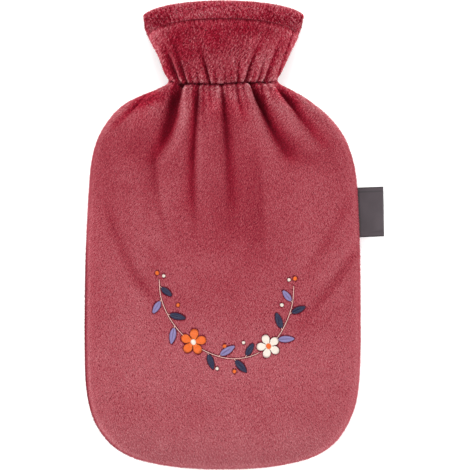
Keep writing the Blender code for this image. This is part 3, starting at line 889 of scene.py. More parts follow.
def plushTones(panel, skin, inward, fromRim, lining):  # the tone with painted light and shade, and the painted shade depth, of each point
    across, along = skin[..., 0], skin[..., 1]
    flat = across.ravel(), along.ravel()
    outer = 1 - lining
    creases = creasesOf(panel, *flat, inward.ravel()).reshape(across.shape)
    folds = foldOffset(*flat, panel["bodyFolds"], False) + foldOffset(*flat, panel["collarFolds"], True)
    folds = folds.reshape(across.shape) * softStep(inward, 0, cloth["foldClear"])
    # patches of painted light and shade
    light = [patchSum(across, along, patches, "light") for patches in (liningPatches, napLightAndShadePatches)]
    light = np.where(lining > 0, *light)
    tone = tones["plain"] + light + stepOf(tones, "lowerHalf", -along) + stepOf(tones, "bottom", -along)
    tone += fadeOf(tones, "sides", inward)
    # painted shade on the collar
    tone += stepOf(tones, "collar", along) + stepOf(tones, "mouth", along) * outer
    # painted shade in the troughs and painted light on the ridges of the folds
    tone += tones["trough"] * np.clip(folds, -5, 2)
    away = along - neckAt(across)
    gathered = creases * (1 + lineOf(tones, "gathered", away))
    deepest = tones["deepest"] + lineOf(tones, "deepestGathered", away)
    # painted shade in the creases and painted highlight on their lips
    tone += np.where(creases < 0, tones["crease"], tones["lip"]) * np.clip(gathered, deepest, 0.9)
    # painted shade on the elastic's drawn-in line, and painted light on the strips beside it
    tone += lineOf(tones, "elastic", away) + lineOf(tones, "besideElasticLight", np.abs(away))
    left = stepOf(tones, "lowerLeft", -across)
    if panel["facing"] > 0:
        # painted shade and light along the drapes
        tone += drapeSum(across, along, panel["drapes"], "light")
        # painted light below the front's rim, and painted shade on its edge
        tone += lineOf(tones, "belowRimLight", fromRim) * outer + lineOf(tones, "rim", fromRim)
        # painted shadow along the seam and painted light beside it
        low = left * fadeOf(tones, "lowerLeftEnds", along) * outer
        for name in ("seam", "besideSeamLight"):
            tone += lineOf(tones, name, inward) * outer + lineOf(tones, name + "LowerLeft", inward) * low
        # painted light along the shoulders' edges
        tone += fadeOf(tones, "shouldersEdge", inward) * stepOf(tones, "shoulderEdgeLight", along)
        # painted shade in the seam up the collar's right side
        tone += tones["collarSeam"] * atCollarSeam(across, along) * outer
    else:
        # painted light on the back's rim, less of it on the lining's side
        tone += lineOf(tones, "backRimLight", fromRim) + lineOf(tones, "liningRim", fromRim) * lining
        # painted shadow on the back's edge where it shows past the seam
        wall = fadeOf(tones, "backWallEnds", along)
        wall += stepOf(tones, "collarWall", along) * fadeOf(tones, "collarWallEnds", along)
        tone += fadeOf(tones, "backWallShadow", inward) * wall * np.where(along < 0, left, across < 0)
    for seed, name, more in ((21, "clouds", 0), (22, "smallClouds", stepOf(tones, "collarClouds", along))):
        amount, cell = tones[name]
        tone += (amount + more) * softNoise(across, along, cell, seed)
    # painted light on the lining inside the collar, more at the mouth's ends
    ends = fadeOf(tones, "mouthEndsLight", inward) * fadeOf(tones, "mouthEndsTop", along)
    tone += lining * (tones["lining"] + ends)
    # painted shade depth: on the lining, the collar, the dark patches and the creases
    depth = shadeDepths["lining"] * lining + stepOf(shadeDepths, "collar", along) + stepOf(shadeDepths, "mouth", along)
    depth -= (shadeDepths["patches"] + stepOf(shadeDepths, "collarPatches", along)) * np.minimum(light, 0)
    return tone, np.clip(depth - shadeDepths["creases"] * np.minimum(creases, 0), 0, 1)


def bilinear(values, i, j, a, b):  # a grid's values inside its cells i, j, at the shares a and b
    if values.ndim == 3:
        a, b = a[:, None], b[:, None]
    low = values[i, j] * (1 - b) + values[i, j + 1] * b
    high = values[i + 1, j] * (1 - b) + values[i + 1, j + 1] * b
    return low * (1 - a) + high * a


# tufts on a grid of points: three corners, their tones, painted shade depth and map places, and how they
# are shaded
def growPile(skin, facing, share, reach, upturned, tone, depth, barred, seed):
    rng = np.random.default_rng(seed)
    normals = gridNormals(skin, facing)
    area = np.linalg.norm(np.cross(skin[1:, :-1] - skin[:-1, :-1], skin[:-1, 1:] - skin[:-1, :-1]), axis=2)
    wanted = area * (share[:-1, :-1] + share[1:, :-1] + share[:-1, 1:] + share[1:, 1:]) / 4
    sums = np.cumsum(wanted.ravel())
    count = int(sums[-1] * pile["density"])
    picks = (np.arange(count) + rng.random(count)) / count * sums[-1]
    i, j = np.divmod(np.minimum(np.searchsorted(sums, picks), len(sums) - 1), skin.shape[1] - 1)
    order = np.arange(count)  # the two shares of an evenly filling sequence, with a little chance
    a = (order * 0.7548776662 + 0.2 * rng.random(count)) % 1
    b = (order * 0.5698402910 + 0.2 * rng.random(count)) % 1
    at = lambda values: bilinear(values, i, j, a, b)
    root, up = at(skin), unit(at(normals))
    x, y = root[:, 0], root[:, 1]
    inside = up[:, 2] * facing < 0  # keeps the lining's swirls apart from the outer face's
    turn = rng.uniform(-1, 1, count) * pile["turnSpread"]
    for k, (cell, degrees) in enumerate(pile["swirls"]):
        combed = pile["combed"] * (k > 0) * (1 - softStep(y, *pile["combedTo"]))
        turn += degrees * (1 - combed) * softNoise(x + 31 * inside, y, cell, seed + 1 + k)
    turn += 180 * (at(upturned) + (rng.random(count) < pile["crossed"]))
    turn = np.radians(turn)
    steep = 1 - np.abs(up[:, 2])
    brushed = np.stack([np.sin(turn), -np.cos(turn), -pile["fall"] - pile["wallFall"] * steep], 1)
    along = unit(brushed - up * (brushed * up).sum(axis=1, keepdims=True))
    aside = np.cross(along, up)
    collar = softStep(y, *pile["upright"])
    lean = pile["lean"] + (pile["collarLean"] - pile["lean"]) * collar
    lean += (pile["wallLean"] - lean) * steep**2
    lean += rng.uniform(-1, 1, count) * pile["leanSpread"] * (1 + 0.5 * collar)
    length = pile["length"] * (1 + (pile["collarLength"] - 1) * collar) * at(reach)
    length *= rng.uniform(0.75, 1.2, count)
    stray = rng.random(count) < pile["stray"]
    length *= np.where(stray, pile["strayLength"], 1)
    lean = np.radians(np.where(stray, pile["strayLean"], lean))
    ahead = along * np.cos(lean)[:, None] + up * np.sin(lean)[:, None]
    roll = np.radians(rng.normal(0, pile["roll"], count))[:, None]
    wide = aside * np.cos(roll) + np.cross(aside, ahead) * np.sin(roll)
    halfWidth = pile["width"] / 2 * rng.uniform(0.75, 1.25, count) * np.where(stray, pile["strayWidth"], 1)
    wide *= halfWidth[:, None]
    corners = np.stack([root - wide, root + wide, root + ahead * length[:, None]], 1)
    corners[..., 2] = np.maximum(corners[..., 2], 0.05)  # nothing reaches into what it lies on
    grain = softStep(y, *pile["grainSetsIn"]) + 0.5 * inside  # the collar's upright nap shows more
    plain, more = pile["speckle"]
    light = at(tone) + (plain + more * grain) * rng.normal(0, 1, count) + pile["strayHighlight"] * stray
    for k, (cell, plain, more) in enumerate(pile["grains"]):
        light += (plain + more * grain) * fineNoise(x, y, cell, seed + 7 + k)
    light = light[:, None] + np.array([-pile["rootShade"], -pile["rootShade"], pile["tipLight"]])
    place = mapPlace(skin, i + a, j + b)
    maps = place[:, None] + np.array([[-0.0005, 0.0], [0.0005, 0.0], [0.0, 0.0012]])
    face = unit(np.cross(wide, ahead))
    face *= np.sign((face * up).sum(axis=1, keepdims=True))
    shaded = unit(pile["even"] * up + (1 - pile["even"]) * face)
    keep = np.ones(count, dtype=bool)
    if barred is not None:
        keep = ~(barred(root[:, 0], root[:, 1]) | barred(corners[:, 2, 0], corners[:, 2, 1]))
    thrice = lambda values: np.repeat(values[keep, None], 3, axis=1)
    return corners[keep], np.clip(light[keep], 0, 1), thrice(at(depth)), maps[keep], thrice(shaded)


def pilePieces(name, tufts, material):  # as many pieces as the limit needs, split along the cover
    corners, tone, depth, maps, shaded = tufts
    order = np.argsort(corners[:, 0, 1], kind="stable")
    made = []
    for number, few in enumerate(np.array_split(order, len(order) // pile["pieceLimit"] + 1)):
        faces = np.arange(len(few) * 3).reshape(-1, 3)
        looks = {"tone": tone[few].ravel(), "depth": depth[few].ravel()}
        made.append(newPiece(
            f"{name}_{number + 1}", corners[few].reshape(-1, 3), [faces], [maps[few]],
            material, looks, shaded[few].reshape(-1, 3),
        ))
    return made


# velour of fine polyester, knitted, cut and brushed: matt, deep between the tufts, with painted shade at
# the tufts' roots and painted light on their tips
def plushMaterial():
    material, tree, shader = newMaterial(
        "brushed polyester velour", 0.9, Sheen_Weight=0.08, Sheen_Roughness=0.5, Specular_IOR_Level=0.06
    )
    shader.inputs["Sheen Tint"].default_value = linear("#F2B4BA")
    tone = addNode(tree, "ShaderNodeAttribute", {"attribute_name": "tone"})
    depth = addNode(tree, "ShaderNodeAttribute", {"attribute_name": "depth"})
    ramps = []
    for colours in (pile["rose"], pile["crimson"]):
        ramp = addNode(tree, "ShaderNodeValToRGB", links={"Fac": tone.outputs["Fac"]})
        for place in pile["toneStops"]:
            ramp.color_ramp.elements.new(place)
        for stop, colour in zip(ramp.color_ramp.elements, colours):
            stop.color = linear(colour)
        ramps.append(ramp)
    # painted shade: the depth attribute turns the rose towards crimson
    mix = addNode(
        tree, "ShaderNodeMix", {"data_type": "RGBA"},
        links={"Factor": depth.outputs["Fac"], 6: ramps[0].outputs["Color"], 7: ramps[1].outputs["Color"]},
    )
    tree.links.new(mix.outputs[2], shader.inputs["Base Color"])
    return material


# the velour's knitted ground: fine loops in rows, painted a deeper rose as shade, since light hardly
# reaches it
def groundMaterial():
    material, tree, shader = newMaterial("warp knitted polyester ground", 0.9, Specular_IOR_Level=0.2)
    where = addNode(tree, "ShaderNodeTexCoord")
    rows = addNode(
        tree, "ShaderNodeTexWave", {"wave_type": "BANDS", "bands_direction": "X"},
        {"Scale": waveScale(1.1), "Distortion": 2.0, "Detail": 1.0, "Detail Scale": 4.0},
        {"Vector": where.outputs["Object"]},
    )  # wales 1.1 mm apart, coarser than real so that they show
    mix = addNode(tree, "ShaderNodeMix", {"data_type": "RGBA"}, links={"Factor": rows.outputs["Fac"]})
    mix.inputs[6].default_value, mix.inputs[7].default_value = map(linear, cloth["colours"])
    bump = addNode(
        tree, "ShaderNodeBump", values={"Strength": 0.5, "Distance": 0.3 * mm},
        links={"Height": rows.outputs["Fac"]},
    )
    tree.links.new(mix.outputs[2], shader.inputs["Base Color"])
    tree.links.new(bump.outputs["Normal"], shader.inputs["Normal"])
    return material


# the embroidery: a garland of leaves, two blossoms and berries, in satin stitch
garland = {
    "thread": 0.40,  # width of a stitch, and the satin rows' spacing
    "spacing": 0.36,
    "lift": 0.45,  # how high the stitches' ends lie over the cloth's ground
    "arch": 0.5,  # how much higher their middles
    "stemArch": 0.3,
    "sink": 0.75,  # how far the stitching draws the cloth in
    "sinkWidth": 3.4,
    "clear": 0.42,  # no tufts stand this near a stitch
    "stemStitch": 2.8,
    "stemStep": 1.7,
    "stemAside": 0.13,
    "leafTurn": 48.0,  # degrees from the stem
    "leafSlant": 52.0,  # of the satin to the midrib
    "leafStem": 1.6,
    "petals": 5,
    "petalHalf": 33.0,
    "petalRound": 0.30,  # how much shorter a petal is at its sides
    "petalGather": 0.82,  # how much closer the petal's stitches lie at its edge
    "eye": 4.2,
    "colours": {
        "navy": "#2A2C4C",
        "lavender": "#9184B4",
        "orange": "#EC6E22",
        "cream": "#F4E6DA",
        "blush": "#EFC0B6",
    },
}
vine = tableOf("across along", (
    (-45, 15), (-44, 3), (-38, -12), (-27, -26), (-11, -37), (7, -42), (24, -39), (38, -29),
    (47, -14), (51, 0), (51.5, 11),
))
leaves = (  # share of the vine, side, length, width, colour
    (0.03, 1, 10, 4.2, "navy"), (0.09, -1, 10.5, 4.4, "lavender"), (0.16, 1, 12, 4.8, "navy"),
    (0.22, -1, 12, 4.8, "lavender"), (0.41, -1, 11.5, 4.6, "navy"), (0.46, 1, 12.5, 5, "lavender"),
    (0.53, -1, 12, 4.8, "navy"), (0.58, 1, 10.5, 4.4, "navy"), (0.74, -1, 12, 4.8, "lavender"),
    (0.79, 1, 12, 4.8, "navy"), (0.87, -1, 11, 4.4, "navy"), (0.92, 1, 10, 4.2, "lavender"),
)
blossoms = (  # across, along, radius, turn, petals' colour, eye's colour
    (-20.5, -30, 9.4, 12, "orange", "cream"), (33.5, -33, 8.6, 40, "cream", "orange"),
)
berries = (  # across, along, diameter, colour
    (-46.5, 19.5, 3, "orange"), (-41.8, 17.4, 2.4, "cream"), (52.5, 15.5, 3, "orange"),
    (48.2, 14.6, 2.4, "cream"), (2, -33, 2.8, "orange"), (9, -51, 2.8, "orange"),
    (-3.5, -49, 2.4, "cream"), (15.5, -30.5, 2.4, "cream"), (-31.5, -3.5, 2.6, "orange"),
    (43, -3.5, 2.6, "cream"),
)


def vineAt(share):
    knots = np.concatenate([[0], np.cumsum(np.hypot(np.diff(vine["across"]), np.diff(vine["along"])))])
    at = np.asarray(share) * knots[-1]
    return np.stack([curveThrough(knots, vine[name], at) for name in ("across", "along")], -1)


def leafStitches(base, heading, length, width):  # two rows of slanted satin, meeting on the midrib
    slant = math.radians(garland["leafSlant"])
    square = np.array([-heading[1], heading[0]])
    shares = np.arange(0.02, 0.985, garland["spacing"] / math.sin(slant) / length)
    halfWidth = lambda s: width / 2 * np.sin(math.pi * np.clip(s, 0, 1) ** 0.85) ** 0.75
    made = []
    for side in (-1, 1):
        reach = np.full(len(shares), width / 4)
        for _ in range(40):  # until each stitch ends on the leaf's edge
            ends = shares + reach * math.cos(slant) / length
            reach = 0.6 * reach + 0.4 * halfWidth(ends) / math.sin(slant)
        start = base + shares[:, None] * length * heading - 0.1 * side * square
        along, out = reach * math.cos(slant), side * reach * math.sin(slant)
        end = base + (shares * length + along)[:, None] * heading + out[:, None] * square
        made.append(np.stack([start, end], 1)[reach > 0.5])
    return np.concatenate(made)


def petalStitches(centre, angle, radius):  # a fan of satin from the eye to the petal's round edge
    half = math.radians(garland["petalHalf"])
    fan = np.linspace(-half, half, int(2 * half * radius * 0.8 / garland["spacing"]))
    reach = radius * (1 - garland["petalRound"] * np.abs(fan / half) ** 2.4)
    inner = np.where(np.arange(len(fan)) % 2 == 0, 1.5, radius * 0.42)  # every other one starts further out
    way = np.stack([np.cos(angle + fan), np.sin(angle + fan)], 1)
    edge = angle + fan * garland["petalGather"]
    lean = np.stack([np.cos(edge), np.sin(edge)], 1)
    return np.stack([centre + way * inner[:, None], centre + lean * reach[:, None]], 1)


def berryStitches(centre, diameter, turn):  # satin straight across a round
    across = np.arange(-diameter / 2 + 0.2, diameter / 2 - 0.1, garland["spacing"])
    half = np.sqrt(np.maximum(diameter**2 / 4 - across**2, 0.1))
    way, square = np.array([math.cos(turn), math.sin(turn)]), np.array([-math.sin(turn), math.cos(turn)])
    middle = centre + across[:, None] * square
    return np.stack([middle - half[:, None] * way, middle + half[:, None] * way], 1)


def vineStitches():  # stem stitch: each one starts beside the middle of the last
    length = np.hypot(np.diff(vine["across"]), np.diff(vine["along"])).sum()
    reach = garland["stemStitch"] / length
    shares = np.arange(0, 1 - reach, garland["stemStep"] / length)
    start, end = vineAt(shares), vineAt(shares + reach)
    aside = garland["stemAside"] * unit((end - start)[:, ::-1] * np.array([-1, 1]))
    made = np.stack([start - aside, end + aside], 1)
    middle = made.mean(axis=1)
    clear = np.ones(len(made), dtype=bool)
    for x, y, radius, *_ in blossoms:
        clear &= np.hypot(middle[:, 0] - x, middle[:, 1] - y) > radius - 0.6
    return made[clear]


def garlandStitches():
    found = {colour: [] for colour in garland["colours"]}
    found["blush"].append(vineStitches())
    for share, side, length, width, colour in leaves:
        base, ahead = vineAt(share), vineAt(share + 0.01)
        x, y = unit(ahead - base)
        turn = side * math.radians(garland["leafTurn"])
        heading = np.array([
            x * math.cos(turn) - y * math.sin(turn), x * math.sin(turn) + y * math.cos(turn),
        ])
        stem = base + heading * garland["leafStem"]
        found["blush"].append(np.array([[base, stem + heading * 0.6]]))
        found[colour].append(leafStitches(stem, heading, length, width))
    for x, y, radius, turn, colour, eye in blossoms:
        centre = np.array([x, y])
        for petal in range(garland["petals"]):
            angle = math.radians(turn + 360 / garland["petals"] * petal)
            found[colour].append(petalStitches(centre, angle, radius))
        found[eye].append(berryStitches(centre, garland["eye"], 0.3))
    for k, (x, y, diameter, colour) in enumerate(berries):  # each turned another way
        found[colour].append(berryStitches(np.array([x, y]), diameter, 0.4 + 1.1 * k))
    return {colour: np.concatenate(rows) for colour, rows in found.items() if rows}


stitches = garlandStitches()
allStitches = np.concatenate(list(stitches.values()))
stitchDots = np.concatenate([
    allStitches[:, 0] * (1 - t) + allStitches[:, 1] * t for t in np.linspace(0, 1, 15)
])


def stitchSink(across, along):  # the cloth is drawn in under the stitching
    found = np.zeros(len(across))
    low, high = stitchDots.min(axis=0) - 9, stitchDots.max(axis=0) + 9
    near = np.flatnonzero((across > low[0]) & (across < high[0]) & (along > low[1]) & (along < high[1]))
    dots = stitchDots[::6]
    for few in np.array_split(near, len(near) // 500 + 1):
        away = np.hypot(across[few, None] - dots[:, 0], along[few, None] - dots[:, 1]).min(axis=1)
        found[few] = garland["sink"] * bell(away, garland["sinkWidth"])
    return found


def stitchMask():  # marks where the stitches lie, in cells of a quarter millimetre
    cell, clear = 0.25, garland["clear"]
    low = stitchDots.min(axis=0) - 2
    size = np.ceil((stitchDots.max(axis=0) + 2 - low) / cell).astype(int) + 1
    marked = np.zeros(size, dtype=bool)
    reach = int(clear / cell) + 1
    for i in range(-reach, reach + 1):
        for j in range(-reach, reach + 1):
            if math.hypot(i, j) * cell <= clear:
                place = np.round((stitchDots - low) / cell).astype(int) + (i, j)
                marked[place[:, 0], place[:, 1]] = True

    def barred(across, along):
        place = np.round((np.stack([across, along], 1) - low) / cell).astype(int)
        inside = ((place >= 0) & (place < size)).all(axis=1)
        place = np.clip(place, 0, size - 1)
        return inside & marked[place[:, 0], place[:, 1]]

    return barred


def groundOf(panel):  # gives the height of a panel's ground at places seen face on
    def height(across, along):
        across, along = across.ravel(), along.ravel()
        inward = fromLine(sewnLine, np.stack([across, along], 1))[0]
        raised = foldsOf(panel, across, along, inward) - cloth["outerPile"]
        return plainHeight(panel, along, inward, across) + panel["facing"] * raised

    return height


# what the embroidery's and the sewing's threads share
threads = {
    "sides": 6,
    "stations": 8,
    "thinEnds": 0.55,  # thickness of a stitch's ends, as a share of its middle's
    "dive": 0.5,  # how far they go down from the stitch's lift
    "twist": 0.9,  # length of one turn of the plies
}


# round threads along paths; all share one number of stations, and their ends dive into the cloth
def threadPiece(name, paths, radius, material):
    count, stations, _ = paths.shape
    sides = threads["sides"]
    ahead = unit(np.gradient(paths, axis=1))
    aside = unit(np.cross(ahead, np.array([0.0, 0.0, 1.0])))
    upward = np.cross(aside, ahead)
    turns = np.arange(sides) * math.tau / sides
    shares = np.linspace(0, 1, stations)
    taper = threads["thinEnds"] + (1 - threads["thinEnds"]) * np.sin(math.pi * shares) ** 0.5
    ring = np.cos(turns)[:, None] * aside[:, :, None] + np.sin(turns)[:, None] * upward[:, :, None]
    points = paths[:, :, None] + taper[:, None, None] * radius * ring
    number = np.arange(count * stations * sides).reshape(count, stations, sides)
    nextSide = np.roll(number, -1, axis=2)
    quads = np.stack([number[:, :-1], nextSide[:, :-1], nextSide[:, 1:], number[:, 1:]], -1)
    caps = np.concatenate([number[:, 0, ::-1], number[:, -1]])
    used = 0.9  # of each thread's own cell on the map goes to its side, and the rest to its ends
    wide = math.ceil(math.sqrt(count * 4))
    tall = math.ceil(count / wide)
    cellX = (np.arange(count) % wide)[:, None, None] / wide
    cellY = (np.arange(count) // wide)[:, None, None] / tall
    left = cellX + np.arange(sides) / (sides + 1) / wide
    low = cellY + shares[:-1, None] * used / tall
    right, high = left + used / (sides + 1) / wide, low + used / (stations - 1) / tall
    maps = cellCorners(*np.broadcast_arrays(left, right, low, high))
    capMaps = np.stack([np.cos(turns), np.sin(turns)], 1) * 0.02 / wide
    capMaps = capMaps + np.concatenate([cellX + 0.5 / wide, cellY + (1 + used) / 2 / tall], -1)
    run = np.cumsum(np.linalg.norm(np.diff(paths, axis=1, prepend=paths[:, :1]), axis=2), axis=1)
    twist = run[..., None] / threads["twist"] + np.arange(sides) / sides
    points = points.reshape(-1, 3)
    faces = [quads.reshape(-1, 4), caps]
    corners = [maps.reshape(-1, 4, 2), np.concatenate([capMaps[:, ::-1], capMaps])]
    return newPiece(name, points, *facingOut(points, faces, corners), material, {"twist": twist.ravel()})


def stitchPaths(rows, ground, lift, arch, stations):  # an arch over the ground for each stitch
    shares = np.linspace(0, 1, stations)
    paths = rows[:, :1] * (1 - shares)[None, :, None] + rows[:, 1:] * shares[None, :, None]
    height = ground(paths[..., 0], paths[..., 1]).reshape(paths.shape[:2])
    curve = lift + arch * np.sin(math.pi * shares) ** 0.6
    curve[0] = curve[-1] = lift - threads["dive"]
    return np.concatenate([paths, (height + curve)[..., None]], -1)


# embroidery rayon: shiny filament yarn of two plies, so each stitch shows a soft streak and a fine twist
def threadMaterial(name, colour, roughness=0.38, specular=0.45):
    material, tree, shader = newMaterial(name, roughness, Specular_IOR_Level=specular)
    twist = addNode(tree, "ShaderNodeAttribute", {"attribute_name": "twist"})
    turns = addNode(tree, "ShaderNodeMath", {"operation": "MULTIPLY"}, links={0: twist.outputs["Fac"]})
    turns.inputs[1].default_value = math.tau
    wave = addNode(tree, "ShaderNodeMath", {"operation": "SINE"}, links={0: turns.outputs[0]})
    shade = addNode(
        tree, "ShaderNodeMapRange",
        values={"From Min": -1.0, "From Max": 1.0, "To Min": 0.0, "To Max": 1.0},
        links={"Value": wave.outputs[0]},
    )
    mix = addNode(tree, "ShaderNodeMix", {"data_type": "RGBA"}, links={"Factor": shade.outputs["Result"]})
    light = linear(colour)
    mix.inputs[6].default_value = (*[0.78 * c for c in light[:3]], 1.0)  # painted shade between the plies
    mix.inputs[7].default_value = light
    bump = addNode(
        tree, "ShaderNodeBump", values={"Strength": 0.4, "Distance": 0.06 * mm},
        links={"Height": wave.outputs[0]},
    )
    tree.links.new(mix.outputs[2], shader.inputs["Base Color"])
    tree.links.new(bump.outputs["Normal"], shader.inputs["Normal"])
    return material


print("shapes and stitches worked out:", len(allStitches), "stitches")

plush, ground = plushMaterial(), groundMaterial()
onStitch = stitchMask()

for name, panel in (("frontPanel", frontPanel), ("backPanel", backPanel)):
    front = panel is frontPanel
    skin, inward, fromRim, rows = clothSkin(panel)
    panelMesh = clothMesh(name, skin, ground)
    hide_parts("front_panel" if front else "back_panel")
    rimEnd = rows + cloth["rimTurnSteps"]
    lining = np.zeros(skin.shape[:2])
    lining[rimEnd:] = 1
    along = skin[..., 1]
    share = panel["outerShare"] + (1 - panel["outerShare"]) * bell(fromRim, 5)
    share = np.where(lining > 0, panel["liningShare"] * softStep(along, 157, 160), share)
    share[rows - 1 : rimEnd + 1] = pile["rimShare"]
    low, high = pile["wallReach"]
    wall = (low + (high - low) * softStep(along, 136, 152)) * (1 - softStep(inward, 0, 4))
    free = softStep(np.abs(along - neckAt(skin[..., 0])), 0.3, 2.2)
    reach = (pile["lineReach"] + (1 - pile["lineReach"]) * free) * (1 + wall)
    reach *= panel["rimReach"] + (1 - panel["rimReach"]) * softStep(fromRim, 0.5, 2.5)
    reach *= np.where(lining > 0, pile["liningReach"], 1)
    tone, depth = plushTones(panel, skin, inward, fromRim, lining)
    upturned = (1 - softStep(fromRim, 3, 7)) * lining * panel["upturned"]
    barred = onStitch if front else None
    tufts = [growPile(
        skin, panel["facing"], share, reach, upturned, tone, depth, barred, panel["seed"]
    )]
    for facing, column in panel["openEnds"]:
        first = np.flatnonzero(skin[:rows, column, 1] > cloth["mouthEndsFrom"])[0]
        pick = lambda values: np.stack([values[first:rows, column], values[::-1][first:rows, column]], 1)
        even = np.ones_like(pick(tone))
        tufts.append(growPile(
            pick(skin), facing, pile["endShare"] * even, even, 0 * even, pick(tone), pick(depth), None,
            panel["seed"] + 12 + facing,
        ))
    tufts = [np.concatenate(parts) for parts in zip(*tufts)]
    pilePieces("frontPile" if front else "backPile", tufts, plush)

for colour, rows in stitches.items():
    thread = threadMaterial(f"{colour} embroidery rayon", garland["colours"][colour])
    arch = garland["stemArch" if colour == "blush" else "arch"]
    paths = stitchPaths(rows, groundOf(frontPanel), garland["lift"], arch, threads["stations"])
    piece = threadPiece(f"{colour}Stitches", paths, garland["thread"] / 2, thread)
print("embroidery made")


# the row of stitches that holds the elastic, seen as short dashes in the drawn-in line; thick and dark,
# they also paint that line's shadow
gatherStitchesAndShadow = {
    "length": 3.6,
    "gap": 0.5,
    "thread": 0.8,
    "from": -37.0,
    "to": 38.6,
    "lift": 0.3,
    "arch": 0.25,
    "stations": 6,
    "uneven": 0.25,  # how far their ends stray from the line
    "colour": "#4A0A18",
}


def dashes():
    step = gatherStitchesAndShadow["length"] + gatherStitchesAndShadow["gap"]
    start = np.arange(gatherStitchesAndShadow["from"], gatherStitchesAndShadow["to"] - gatherStitchesAndShadow["length"], step)
    end = start + gatherStitchesAndShadow["length"]
    lean = gatherStitchesAndShadow["uneven"] * softNoise(start, start, 2.0, 61)
    return np.stack([np.stack([start, neckAt(start) - lean], 1), np.stack([end, neckAt(end) + lean], 1)], 1)


# spun polyester sewing thread, much duller than the embroidery's, in the plush's deepest rose, dark as the
# painted shadow in the drawn-in line
sewing = threadMaterial("polyester sewing thread", gatherStitchesAndShadow["colour"], 0.75, 0.1)
for name, panel in (("frontGatherStitchesAndShadow", frontPanel), ("backGatherStitchesAndShadow", backPanel)):
    lift, arch = panel["facing"] * gatherStitchesAndShadow["lift"], panel["facing"] * gatherStitchesAndShadow["arch"]
    paths = stitchPaths(dashes(), groundOf(panel), lift, arch, gatherStitchesAndShadow["stations"])
    piece = threadPiece(name, paths, gatherStitchesAndShadow["thread"] / 2, sewing)


# the folded tab in the right side seam: a bare woven ribbon
tab = {
    "middle": 63.0,
    "length": 36.0,
    "reach": 19.1,
    "layer": 0.55,
    "gap": 0.5,
    "clear": -0.35,  # the plush is drawn in at the seam, so the tab's root comes this much nearer
    "splay": 0.56,  # how much the free end leans over from one end of the tab to the other
    "droop": 1.6,
    "skew": 0.8,
    "wave": 0.22,  # the free end is a little wavy
    "waveLength": 5.2,
    "stations": 22,
    "foldSteps": 10,
    "rows": 61,
    "colours": ("#382E33", "#4A4045"),  # painted shade between the ribs, and the grey on them
    "edgeAndShadeColour": "#1E181B",
    "selvedge": 1.0,  # width of the denser woven edges
    "pick": 0.6,  # spacing of the ribs, coarser than real so that they show
    "darkLineWidth": 0.4,
    "topDarkLine": (0.8, 3.3),  # how dark, and how far from the end
    "bottomCreaseShade": (0.5, 2.9),
    "rootShadow": (0.9, 0.9, 2.6),  # painted shadow where it goes into the seam
}


# satin ribbon of grey polyester: a low silky shine across fine ribs, with denser, darker edges, and painted
# shade at its root and in a crease
def ribbonMaterial():
    material, tree, shader = newMaterial(
        "woven polyester ribbon", 0.55, Specular_IOR_Level=0.4, Sheen_Weight=0.2
    )
    where = addNode(tree, "ShaderNodeTexCoord")
    ribs = addNode(
        tree, "ShaderNodeTexWave", {"wave_type": "BANDS", "bands_direction": "Y"},
        {"Scale": waveScale(tab["pick"]), "Distortion": 0.6, "Detail": 1.0, "Detail Scale": 3.0},
        {"Vector": where.outputs["Object"]},
    )
    warp = addNode(
        tree, "ShaderNodeTexWave", {"wave_type": "BANDS", "bands_direction": "X"},
        {"Scale": waveScale(tab["pick"] * 1.3), "Distortion": 0.4}, {"Vector": where.outputs["Object"]},
    )
    weave = addNode(
        tree, "ShaderNodeMath", {"operation": "MULTIPLY"},
        links={0: ribs.outputs["Fac"], 1: warp.outputs["Fac"]},
    )
    edge = addNode(tree, "ShaderNodeAttribute", {"attribute_name": "selvedge"})
    cloud = addNode(
        tree, "ShaderNodeTexNoise", values={"Scale": 1 / (9 * mm), "Detail": 3.0},
        links={"Vector": where.outputs["Object"]},
    )
    tone = addNode(
        tree, "ShaderNodeMath", {"operation": "MULTIPLY_ADD"},
        links={0: weave.outputs[0], 2: cloud.outputs["Fac"]},
    )
    tone.inputs[1].default_value = 0.45
    body = addNode(tree, "ShaderNodeValToRGB", links={"Fac": tone.outputs[0]})
    for stop, place, colour in zip(body.color_ramp.elements, (0.25, 0.95), tab["colours"]):
        stop.position, stop.color = place, linear(colour)
    mix = addNode(
        tree, "ShaderNodeMix", {"data_type": "RGBA"},
        links={"Factor": edge.outputs["Fac"], 6: body.outputs["Color"]},
    )
    mix.inputs[7].default_value = linear(tab["edgeAndShadeColour"])
    bump = addNode(
        tree, "ShaderNodeBump", values={"Strength": 0.6, "Distance": 0.12 * mm},
        links={"Height": weave.outputs[0]},
    )
    tree.links.new(mix.outputs[2], shader.inputs["Base Color"])
    tree.links.new(bump.outputs["Normal"], shader.inputs["Normal"])
    return material


